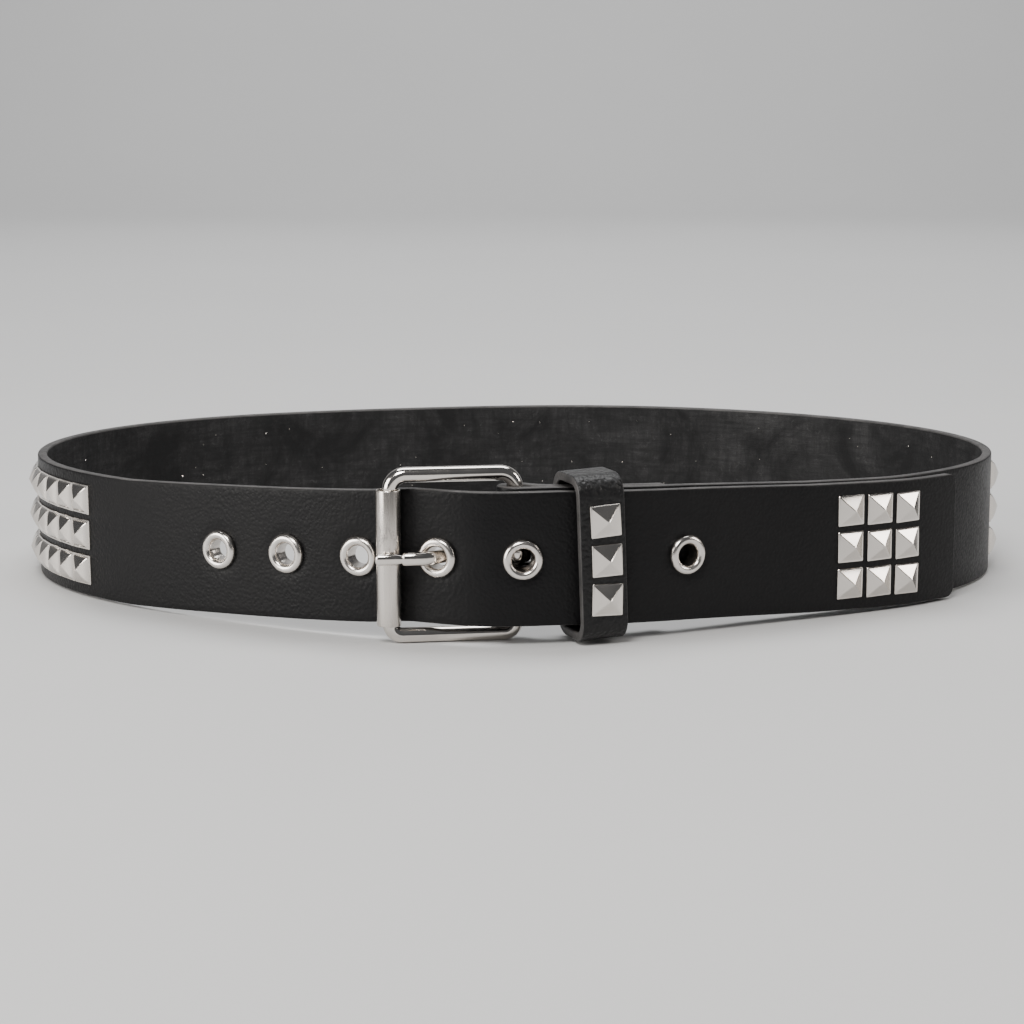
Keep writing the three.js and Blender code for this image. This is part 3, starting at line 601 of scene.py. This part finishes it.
def strap_piece():
    faces, inwards, lifts, places = strap_route(1.5)
    outline, kinds = rounded_section(STRAP_THICKNESS, STRAP_WIDTH, EDGE_ROUNDING, 4, 22, 10)
    tail_end = LOOP_GIRTH + tail_end_at
    rings = []
    for face, inward, lift, along in zip(faces, inwards, lifts, places):
        depth, rise = outline[:, 0].copy(), outline[:, 1].copy()
        distance = tail_end - along
        if distance < EDGE_ROUNDING:
            inset = EDGE_ROUNDING - math.sqrt(max(0.0, EDGE_ROUNDING**2 - (EDGE_ROUNDING - distance) ** 2))
            depth = STRAP_THICKNESS / 2 + (depth - STRAP_THICKNESS / 2) * (1 - 2 * inset / STRAP_THICKNESS)
        if distance < TAIL_CORNER_RADIUS:
            reach = TAIL_CORNER_RADIUS - distance
            cut = TAIL_CORNER_RADIUS - math.sqrt(max(0.0, TAIL_CORNER_RADIUS**2 - reach**2))
            middle = STRAP_WIDTH / 2
            rise = middle + (rise - middle) * (1 - cut / middle)
        if not math.isnan(along):
            on_front = depth < STRAP_THICKNESS / 2
            depth = depth + np.where(on_front, eyelet_dents(along, rise - STRAP_WIDTH / 2), 0)
        plan = face + inward * depth[:, None]
        rings.append(np.column_stack([plan, rise + lift]))
    rings = np.array(rings)
    runs, sides = rings.shape[:2]
    points = rings.reshape(-1, 3)
    quads = sweep_faces(runs, sides, False)
    side_slots = [LEATHER_SLOTS[kind] for kind in kinds]
    face_slots = [side_slots[i % sides] for i in range((runs - 1) * sides)] + [1, 1]
    lengths = lengths_along(faces)
    around = lengths_along(outline, closed=True)
    uv = []
    for i, quad in enumerate(quads):
        run, side = divmod(i, sides)
        if len(quad) == 4:
            uv += quad_lengths(lengths, around, run, side)
        else:
            uv += [(points[corner][0] * MM, points[corner][2] * MM) for corner in quad]
    strap = make_object("strap_leather", points, quads, [GRAIN, EDGE, SPLIT], face_slots, uv, 50)
    face_outwards(strap)
    cut_holes(strap)
    add_piece(strap, "belt", "leather", "strap")


def cutter_object(points, faces):
    made = make_object("cutter", points, faces, [EDGE])
    return face_outwards(made)


def cut_holes(strap):
    """Eyelet holes and the prong's slot, cut in one go."""
    cutters = []
    for along in eyelet_places:
        out = right_of(tangent_of(tail_face, along))
        rings = lathe([(EYELET_BORE / 2 + 0.7, -STRAP_THICKNESS - 1.6), (EYELET_BORE / 2 + 0.7, 1.6)], 40)
        points = place(rings, tail_face(along), out, float(lift_at(along)) + STRAP_WIDTH / 2)
        cutters.append(cutter_object(points, sweep_faces(2, 40, False)))
    slot_reach = bar_radius + FIT_GAP + KNUCKLE_WALL + SLOT_CLEARANCE / 3
    left = -(fold_radius + SLOT_CLEARANCE)
    half = KNUCKLE_HEIGHT / 2 + SLOT_CLEARANCE
    outline = [(left, -half), (slot_reach, -half), (slot_reach, half), (left, half)]
    depths = (-fold_radius - 1.0, fold_radius + 1.0)
    rings = np.array([[(a, depth, b) for a, b in outline] for depth in depths])
    points = place(rings, heel_bar, heel_out, prong_level)
    cutters.append(cutter_object(points, sweep_faces(2, 4, False)))
    for cutter in cutters:
        change = strap.modifiers.new("cut", "BOOLEAN")
        change.operation = "DIFFERENCE"
        change.solver = "EXACT"
        change.object = cutter
    graph = bpy.context.evaluated_depsgraph_get()
    cut = bpy.data.meshes.new_from_object(strap.evaluated_get(graph))
    strap.modifiers.clear()
    strap.data = cut
    for cutter in cutters:
        bpy.data.objects.remove(cutter)
    strap.data.shade_smooth()
    strap.data.set_sharp_from_angle(angle=math.radians(50))


# Pyramid studs

def stud_rings(hollow):
    """Square rings from the leather up to the point: (along, outwards, up), 12 points a ring."""
    half, rim, flange = STUD_BASE / 2, 0.5, 0.9
    levels = [(1.0, -0.3), (1.0, rim - 0.14), (0.98, rim)]
    for share in (flange, 0.84, 0.76, 0.66, 0.54, 0.42, 0.31, 0.21, 0.12, 0.05):
        levels.append((share, rim + 0.06 + (STUD_TOP - rim - 0.06) * ((flange - share) / flange) ** hollow))
    rings = []
    for share, height in levels:
        reach = half * share
        ridge = min(0.2, reach * 0.4)
        ring = []
        for turn in range(4):
            c, s = (1, 0, -1, 0)[turn], (0, 1, 0, -1)[turn]
            for a, b in ((reach, -reach + ridge), (reach, 0.0), (reach, reach - ridge)):
                ring.append((a * c - b * s, height, a * s + b * c))
        rings.append(ring)
    return np.array(rings)


def stud_mesh(generator, hollow, spin):
    """Points and faces of one stud, seated a little askew."""
    rings = stud_rings(hollow)
    points = np.vstack([rings.reshape(-1, 3), [[0.0, STUD_TOP, 0.0]]])
    faces = sweep_faces(len(rings), 12, False)[:-1]
    last = (len(rings) - 1) * 12
    faces += [(last + side, last + (side + 1) % 12, len(points) - 1) for side in range(12)]
    turn, tip, roll = np.radians(generator.normal(0, (0.8, 0.7, 0.7)) + (spin, 0, 0))
    turned = Matrix.Rotation(turn, 3, "Y") @ Matrix.Rotation(tip, 3, "X") @ Matrix.Rotation(roll, 3, "Z")
    return points @ np.array(turned).T, faces


def join_studs(name, seats, seed, spin=0.0, hollow=STUD_HOLLOW):
    """Studs at (plan point, direction, level), in one mesh."""
    generator = np.random.default_rng(seed)
    all_points, all_faces = [], []
    for origin, out, level in seats:
        points, faces = stud_mesh(generator, hollow, spin)
        shift = sum(len(p) for p in all_points)
        all_points.append(place(points, origin, out, level))
        all_faces += [tuple(i + shift for i in face) for face in faces]
    made = make_object(name, np.vstack(all_points), all_faces, [STUD_NICKEL], sharp=14)
    return face_outwards(made)


def stud_field_seats(rise):
    seats = []
    for column in range(field_columns):
        along = field_front_at - (column + 0.5) * FIELD_PITCH
        out = right_of(tangent_of(outline_point, along))
        seats.append((outline_point(along), out, float(lift_at(along)) + STRAP_WIDTH / 2 + rise))
    return seats


def stud_pieces():
    rises = [(row - (STUD_ROWS - 1) / 2) * STUD_ROW_PITCH for row in range(STUD_ROWS)]
    for row, (node, rise) in enumerate(zip(("bottom", "middle", "top"), rises)):
        seats = stud_field_seats(rise)
        made = join_studs(f"studs_round_back_{node}", seats, 40 + row, hollow=FIELD_STUD_HOLLOW)
        add_piece(made, "belt", "nickel", f"stud_row_{node}")
    for column in range(TIP_COLUMNS):
        along = tail_end_at - TIP_MARGIN - (TIP_COLUMNS - 1 - column) * TIP_COLUMN_PITCH
        out = right_of(tangent_of(tail_face, along))
        level = float(lift_at(along)) + STRAP_WIDTH / 2
        for row in range(STUD_ROWS):
            seat = (tail_face(along), out, level - (row - 1) * STUD_ROW_PITCH)
            made = join_studs(f"tip_stud_{row + 1}_{column + 1}", [seat], 60 + 3 * row + column)
            add_piece(made, "belt", "nickel", f"stud_tip_row_{row + 1}_column_{column + 1}")
    origin, out = keeper_place()
    for row in range(STUD_ROWS):
        rise = -(row - 1) * KEEPER_STUD_PITCH - KEEPER_STUD_DROP
        shift = KEEPER_STUD_SHIFT + KEEPER_STUD_STRAY[row]
        across, outwards, up = leaned([[shift, keeper_front, rise]])[0]
        seat = (origin + out * outwards + left_of(out) * across, out, keeper_level + up)
        spin = -math.degrees(KEEPER_LEAN) - KEEPER_STUD_SPIN[row]
        made = join_studs(f"keeper_stud_{row + 1}", [seat], 80 + row, spin)
        add_piece(made, "belt", "nickel", f"stud_keeper_{row + 1}")


# Eyelets and rivets

def eyelet_piece(number, along):
    """Crown, throat that narrows inwards, and the rolled end behind."""
    bore, rim, back = EYELET_BORE / 2, EYELET_DIAMETER / 2, -STRAP_THICKNESS
    lip = bore - 0.1
    profile = [(bore - 0.45, back - 0.75), (bore - 0.42, back - 0.3), (bore - 0.35, -1.8), (bore - 0.25, -0.9)]
    middle, reach = (lip + rim) / 2, (rim - lip) / 2
    for step in range(0, 19):
        turn = math.pi * (1 - step / 18)
        profile.append((middle + reach * math.cos(turn), -0.1 + (EYELET_CROWN + 0.1) * math.sin(turn) ** 0.85))
    profile += [(rim - 0.25, -0.4), (bore + 0.62, -0.4), (bore + 0.6, back - 0.1)]
    outer = rim - 0.6
    profile += [(outer, back - 0.1), (outer + 0.1, back - 0.35), (outer - 0.3, back - 0.65)]
    profile += [(middle, back - 1.0), (bore + 0.2, back - 1.05), (bore - 0.25, back - 0.95)]
    rings = lathe(profile, EYELET_SIDES)
    faces = sweep_faces(len(profile), EYELET_SIDES, True)
    out = right_of(tangent_of(tail_face, along))
    points = place(rings, tail_face(along), out, float(lift_at(along)) + STRAP_WIDTH / 2)
    made = make_object(f"eyelet_ring_{number}", points, faces, [EYELET_NICKEL], sharp=50)
    add_piece(face_outwards(made), "belt", "nickel", f"eyelet_{number}")


def rivet_piece(name, rise):
    along = HEEL_AT + RIVET_RUN
    head, shank = RIVET_HEAD_DIAMETER / 2, RIVET_SHANK_DIAMETER / 2
    profile = []
    for step in range(1, 7):
        turn = step / 6 * math.pi / 2
        profile.append((head * math.sin(turn), 0.1 + 0.9 * math.cos(turn)))
    profile += [(head - 0.1, 0.0), (shank, 0.0), (shank, -flap_depth), (head - 0.1, -flap_depth)]
    for step in range(6, 0, -1):
        turn = step / 6 * math.pi / 2
        profile.append((head * math.sin(turn), -flap_depth - 0.1 - 0.9 * math.cos(turn)))
    rings = lathe(profile, 40)
    out = right_of(tangent_of(outline_point, along))
    level = MAIN_LAYER_LIFT * float(lift_at(along)) + STRAP_WIDTH / 2 + rise
    points = place(rings, outline_point(along), out, level)
    made = make_object(f"{name}_cap", points, sweep_faces(len(profile), 40, False), [NICKEL], sharp=50)
    add_piece(face_outwards(made), "belt", "nickel", name)


# Buckle

def rounded_corners(corners, steps):
    """(centre x, centre y, radius, first turn) of each corner to points and outward directions."""
    points, directions = [], []
    for x, y, radius, start in corners:
        for turn in start + np.linspace(0, math.pi / 2, steps + 1):
            direction = np.array([math.cos(turn), math.sin(turn)])
            points.append(np.array([x, y]) + radius * direction)
            directions.append(direction)
    return np.array(points), np.array(directions)


def between(points, directions, step):
    """Adds points along the straight stretches of a closed outline."""
    new_points, new_directions = [], []
    for i, (point, direction) in enumerate(zip(points, directions)):
        after = points[(i + 1) % len(points)]
        count = max(1, int(np.linalg.norm(after - point) // step))
        for n in range(count):
            new_points.append(point + (after - point) * n / count)
            new_directions.append(direction)
    return np.array(new_points), np.array(new_directions)


def frame_piece():
    span = float(np.linalg.norm(heel_bar - roller_bar))
    top, foot, quarter = frame_height - bar_radius, bar_radius, math.pi / 2
    corners = [
        (span - FRAME_TOP_BEND, top - FRAME_TOP_BEND, FRAME_TOP_BEND, 0.0),
        (FRAME_TOP_BEND, top - FRAME_TOP_BEND, FRAME_TOP_BEND, quarter),
        (FRAME_FOOT_BEND, foot + FRAME_FOOT_BEND, FRAME_FOOT_BEND, 2 * quarter),
        (span - FRAME_FOOT_BEND, foot + FRAME_FOOT_BEND, FRAME_FOOT_BEND, 3 * quarter),
    ]
    points, directions = between(*rounded_corners(corners, 12), 4.0)
    turns = np.arange(WIRE_SIDES) * 2 * math.pi / WIRE_SIDES
    right3 = np.array([*frame_right, 0.0])
    out3 = np.array([*frame_out, 0.0])
    rings = []
    for (x, z), (dx, dz) in zip(points, directions):
        centre = np.array([*roller_bar, 0.0]) + right3 * x + UP * z
        outwards = right3 * dx + UP * dz
        ring = centre + bar_radius * (np.cos(turns)[:, None] * out3 + np.sin(turns)[:, None] * outwards)
        rings.append(ring)
    rings = np.array(rings)
    made = make_object("frame_wire", rings.reshape(-1, 3), sweep_faces(len(rings), WIRE_SIDES, True), [NICKEL])
    add_piece(face_outwards(made), "belt", "nickel", "buckle_frame")


def roller_piece():
    """A tube rolled from sheet: a closed section with a narrow butt seam, extruded upwards."""
    outer, inner = roller_radius, roller_radius - ROLLER_WALL
    seam = ROLLER_SEAM_WIDTH / outer
    seam_turn = math.atan2(-frame_out[1], -frame_out[0])
    turns = seam_turn + np.linspace(seam / 2, 2 * math.pi - seam / 2, 97)
    ring = [(outer * math.cos(t), outer * math.sin(t)) for t in turns]
    ring += [(inner * math.cos(t), inner * math.sin(t)) for t in reversed(turns)]
    ring = np.array(ring)
    radius = np.linalg.norm(ring, axis=1, keepdims=True)
    middle = (outer + inner) / 2
    rings = []
    for level, softened in ((0.0, 0.45), (0.12, 0.85), (0.25, 1.0), (roller_length - 0.25, 1.0),
                            (roller_length - 0.12, 0.85), (roller_length, 0.45)):
        plan = ring / radius * (middle + (radius - middle) * softened) + roller_centre
        rings.append(np.column_stack([plan, np.full(len(ring), roller_foot + level)]))
    rings = np.array(rings)
    sides = len(ring)
    faces = sweep_faces(len(rings), sides, False)[:-2]
    half = sides // 2
    for base, flip in ((0, False), ((len(rings) - 1) * sides, True)):
        for i in range(half - 1):
            face = (base + i, base + i + 1, base + sides - 2 - i, base + sides - 1 - i)
            faces.append(face[::-1] if flip else face)
    made = make_object("roller_tube", rings.reshape(-1, 3), faces, [ROLLER], sharp=50)
    add_piece(face_outwards(made), "roller", "roller_nickel", "buckle_roller")


def meet_line(start, direction, point, outwards):
    gap = outwards - (start - point) @ frame_out
    return start + direction * gap / (direction @ frame_out)


def rounded_path(corners, radius, steps):
    points = [corners[0]]
    for before, corner, after in zip(corners, corners[1:], corners[2:]):
        arriving, leaving = unit(corner - before), unit(after - corner)
        trim = radius * math.tan(math.acos(np.clip(arriving @ leaving, -1, 1)) / 2)
        start, end = corner - arriving * trim, corner + leaving * trim
        for share in np.linspace(0, 1, steps + 1):
            points.append((1 - share) ** 2 * start + 2 * share * (1 - share) * corner + share**2 * end)
    points.append(corners[-1])
    return np.array(points)


def prong_piece():
    eyelet_out = right_of(tangent_of(tail_face, prong_eyelet_at))
    middle = tail_face(prong_eyelet_at) - eyelet_out * STRAP_THICKNESS / 2
    cos, sin = math.cos(-PRONG_LEAN), math.sin(-PRONG_LEAN)
    through = np.array([cos * eyelet_out[0] - sin * eyelet_out[1], sin * eyelet_out[0] + cos * eyelet_out[1]])
    tip_out = roller_radius + FIT_GAP + PRONG_TIP_THICKNESS / 2
    over = roller_centre + frame_out * tip_out
    tip = over - frame_right * PRONG_TIP_REACH
    knuckle_radius = bar_radius + FIT_GAP + KNUCKLE_WALL
    join = heel_bar + frame_right * (FIT_GAP - knuckle_radius + KNUCKLE_WALL / 2)
    legs = [tip, meet_line(middle, through, roller_centre, tip_out), meet_line(middle, through, heel_bar, 0.0), join]
    path = rounded_path(legs, PRONG_BEND, 10)
    flat_end = over + frame_right * PRONG_FLAT_RUN / 2
    first = [tip + frame_right * run for run in (0.0, 0.3, 0.8)]
    first += [flat_end + frame_right * run for run in (-1.8, -0.9, -0.25, 0.1, 0.6)]
    path = np.vstack([first, path[1:]])
    grow = [(0.5, 0.55), (0.85, 0.85), (1.0, 1.0), (1.0, 1.0), (0.96, 0.9), (0.9, 0.78), (1.2, 1.1)]
    turns = np.arange(WIRE_SIDES) * 2 * math.pi / WIRE_SIDES
    rings = []
    for i, point in enumerate(path):
        heading = unit(path[min(i + 1, len(path) - 1)] - path[max(i - 1, 0)])
        side = np.array([*right_of(heading), 0.0])
        if i < len(grow):
            wide, high = grow[i][0] * PRONG_TIP_THICKNESS / 2, grow[i][1] * PRONG_TIP_HEIGHT / 2
        else:
            wide, high = PRONG_THICKNESS / 2, PRONG_HEIGHT / 2
        centre = np.array([*point, prong_level])
        power = 0.86
        across = np.sign(np.cos(turns)) * np.abs(np.cos(turns)) ** power
        upwards = np.sign(np.sin(turns)) * np.abs(np.sin(turns)) ** power
        rings.append(centre + wide * across[:, None] * side + high * upwards[:, None] * UP)
    rings = np.array(rings)
    faces = sweep_faces(len(rings), WIRE_SIDES, False)
    shank = make_object("prong_wire", rings.reshape(-1, 3), faces, [NICKEL], sharp=55)
    add_piece(face_outwards(shank), "belt", "nickel", "buckle_prong")
    half, bore = KNUCKLE_HEIGHT / 2, bar_radius + FIT_GAP
    profile = [(bore, -half + 0.3), (bore + 0.3, -half), (knuckle_radius - 0.6, -half)]
    profile += [(knuckle_radius - 0.15, -half + 0.3), (knuckle_radius, -half + 0.9)]
    profile += [(radius, -height) for radius, height in reversed(profile)]
    turned = lathe(profile, 48)
    points = turned.reshape(-1, 3)[:, [0, 2, 1]] + np.array([*heel_bar, prong_level])
    knuckle = make_object("prong_knuckle", points, sweep_faces(len(profile), 48, True), [NICKEL], sharp=50)
    add_piece(face_outwards(knuckle), "belt", "nickel")


# Keeper

keeper_slack = 2 * FIT_GAP + KEEPER_WIDTH / 2 * math.tan(KEEPER_TURN)
keeper_level = MAIN_LAYER_LIFT * float(lift_at(keeper_at)) + STRAP_WIDTH / 2
keeper_front = tail_offset + 1.55 + keeper_slack + KEEPER_THICKNESS
keeper_back = -(flap_depth + KEEPER_SAG + keeper_slack + KEEPER_THICKNESS)


def keeper_place():
    out = right_of(tangent_of(outline_point, keeper_at))
    cos, sin = math.cos(KEEPER_TURN), math.sin(KEEPER_TURN)
    return outline_point(keeper_at), np.array([cos * out[0] - sin * out[1], sin * out[0] + cos * out[1]])


def leaned(points):
    """Turns local (along, outwards, up) points a little in the plane of the strap, with the top to the left."""
    cos, sin = math.cos(KEEPER_LEAN), math.sin(KEEPER_LEAN)
    points = np.asarray(points, dtype=float).reshape(-1, 3)
    along = points[:, 0] * cos - points[:, 2] * sin
    return np.column_stack([along, points[:, 1], points[:, 0] * sin + points[:, 2] * cos])


def keeper_piece():
    rise = keeper_height / 2 - KEEPER_BEND
    front, back, quarter = keeper_front - KEEPER_BEND, keeper_back + KEEPER_BEND, math.pi / 2
    corners = [
        (front, rise, KEEPER_BEND, 0.0),
        (back, rise, KEEPER_BEND, quarter),
        (back, -rise, KEEPER_BEND, 2 * quarter),
        (front, -rise, KEEPER_BEND, 3 * quarter),
    ]
    points, directions = between(*rounded_corners(corners, 14), 1.2)
    outline, kinds = rounded_section(KEEPER_THICKNESS, KEEPER_WIDTH, EDGE_ROUNDING, 4, 10, 6)
    rings = []
    for (x, z), (dx, dz) in zip(points, directions):
        depth, across = outline[:, 0], outline[:, 1] - KEEPER_WIDTH / 2
        rings.append(np.column_stack([across, x - depth * dx, z - depth * dz]))
    rings = np.array(rings)
    runs, sides = rings.shape[:2]
    origin, out = keeper_place()
    placed = place(leaned(rings), origin, out, keeper_level)
    face_slots = [LEATHER_SLOTS[kinds[i % sides]] for i in range(runs * sides)]
    lengths = lengths_along(points, closed=True)
    around = lengths_along(outline, closed=True)
    uv = []
    for i in range(runs * sides):
        run, side = divmod(i, sides)
        uv += quad_lengths(lengths, around, run, side)
    faces = sweep_faces(runs, sides, True)
    made = make_object("keeper_band", placed, faces, [COARSE_GRAIN, EDGE, SPLIT], face_slots, uv, 50)
    add_piece(face_outwards(made), "belt", "leather", "keeper")


# Points of the stud prongs that show on the rough side

def prong_points_piece():
    generator = np.random.default_rng(7)
    all_points, faces = [], []
    for column in range(field_columns):
        along = field_front_at - (column + 0.5) * FIELD_PITCH
        for row in range(STUD_ROWS):
            for side in (-1, 1):
                shift = generator.normal(0, 0.5, 2)
                if generator.random() < STUD_PRONG_HIDDEN:
                    continue
                spot = along + side * STUD_PRONG_ALONG + shift[0]
                level = float(lift_at(spot)) + STRAP_WIDTH / 2 + (row - 1) * STUD_ROW_PITCH
                level = level + side * STUD_PRONG_UP + shift[1]
                out = right_of(tangent_of(outline_point, spot))
                radius = generator.uniform(0.2, 0.38)
                rings = lathe([(radius, -STRAP_THICKNESS + 0.1), (radius, -STRAP_THICKNESS - 0.12),
                               (radius * 0.5, -STRAP_THICKNESS - 0.3)], 8)
                base = sum(len(p) for p in all_points)
                all_points.append(place(rings, outline_point(spot), out, level))
                faces += [tuple(i + base for i in face) for face in sweep_faces(3, 8, False)]
    made = make_object("stud_prong_points", np.vstack(all_points), faces, [STUD_NICKEL])
    add_piece(face_outwards(made), "belt", "nickel")


strap_piece()
keeper_piece()
frame_piece()
roller_piece()
prong_piece()
for number, along in enumerate(eyelet_places):
    eyelet_piece(number + 1, along)
rivet_piece("rivet_upper", RIVET_SPACING / 2)
rivet_piece("rivet_lower", -RIVET_SPACING / 2)
stud_pieces()
prong_points_piece()


# Floor, light and camera

def floor_piece():
    """A pale sheet that runs up behind the belt in one sweep."""
    reach, depth, bend = 4.0, 2.2, 0.9
    profile = [(-3.0, 0.0)]
    for step in range(25):
        turn = step / 24 * math.pi / 2
        profile.append((depth + bend * math.sin(turn), bend * (1 - math.cos(turn))))
    profile.append((depth + bend, 4.0))
    points = [(side * reach, y, z) for y, z in profile for side in (-1, 1)]
    faces = [(2 * i, 2 * i + 1, 2 * i + 3, 2 * i + 2) for i in range(len(profile) - 1)]
    mesh = bpy.data.meshes.new("floor")
    mesh.from_pydata(points, [], faces)
    mesh.shade_smooth()
    shade = Shade("floor_paint")
    spot = shade.coordinates("Object", (1, 1, 1))
    tone = shade.noise(spot, 3.0, 3.0)
    colour = shade.blend(tone, (0.56, 0.56, 0.56), (0.6, 0.6, 0.6))
    rough = shade.ramp(tone, 0.3, 0.7, 0.6, 0.66)
    normal = shade.bump(shade.noise(spot, 900.0, 2.0), 0.00002, 0.2)
    mesh.materials.append(shade.finish(colour, rough, normal))
    made = bpy.data.objects.new("floor", mesh)
    bpy.context.scene.collection.objects.link(made)


def area_light(name, place_at, aim, size, power, colour):
    lamp = bpy.data.lights.new(name, "AREA")
    lamp.shape = "RECTANGLE"
    lamp.size, lamp.size_y = size
    lamp.energy = power
    lamp.color = colour
    made = bpy.data.objects.new(name, lamp)
    made.location = place_at
    made.rotation_euler = (Vector(aim) - Vector(place_at)).to_track_quat("-Z", "Y").to_euler()
    bpy.context.scene.collection.objects.link(made)


def studio():
    world = bpy.data.worlds.new("studio")
    world.use_nodes = True
    background = world.node_tree.nodes["Background"]
    background.inputs["Color"].default_value = (0.78, 0.8, 0.84, 1)
    background.inputs["Strength"].default_value = 0.12
    bpy.context.scene.world = world
    area_light("front", (-0.22, -0.85, 1.0), (0, -0.1, 0.02), (0.5, 0.4), 13.0, (1.0, 0.98, 0.95))
    area_light("left", (-1.1, -0.62, 0.42), (-0.02, -0.08, 0.03), (0.8, 0.75), 15.0, (1.0, 0.97, 0.93))
    area_light("right", (1.0, -0.15, 0.5), (0.1, -0.05, 0.03), (0.3, 0.5), 4.0, (1.0, 0.95, 0.9))
    area_light("top", (0.05, 0.35, 1.2), (0, 0.0, 0.0), (1.1, 0.6), 14.0, (1.0, 1.0, 1.0))
    area_light("sweep", (0.0, 1.2, 1.7), (0, 2.8, 0.4), (1.6, 0.6), 42.0, (1.0, 1.0, 1.0))


# The camera stands where the photo's outlines put it, in millimetres from the loop's own origin
CAMERA_PLACE = (-0.77, -825.85, 156.49)
CAMERA_PITCH = math.radians(9.586)
CAMERA_FOCAL_PIXELS = 2550.0
PHOTO_PIXELS = 1024.0
SENSOR = 36.0


def photo_camera():
    data = bpy.data.cameras.new("photo_camera")
    data.sensor_width = SENSOR
    data.lens = CAMERA_FOCAL_PIXELS * SENSOR / PHOTO_PIXELS
    data.clip_start, data.clip_end = 0.05, 20.0
    made = bpy.data.objects.new("photo_camera", data)
    made.location = np.array(CAMERA_PLACE) * MM + loop_origin
    made.rotation_euler = (math.pi / 2 - CAMERA_PITCH, 0.0, 0.0)
    bpy.context.scene.collection.objects.link(made)
    bpy.context.scene.camera = made


floor_piece()
studio()
photo_camera()
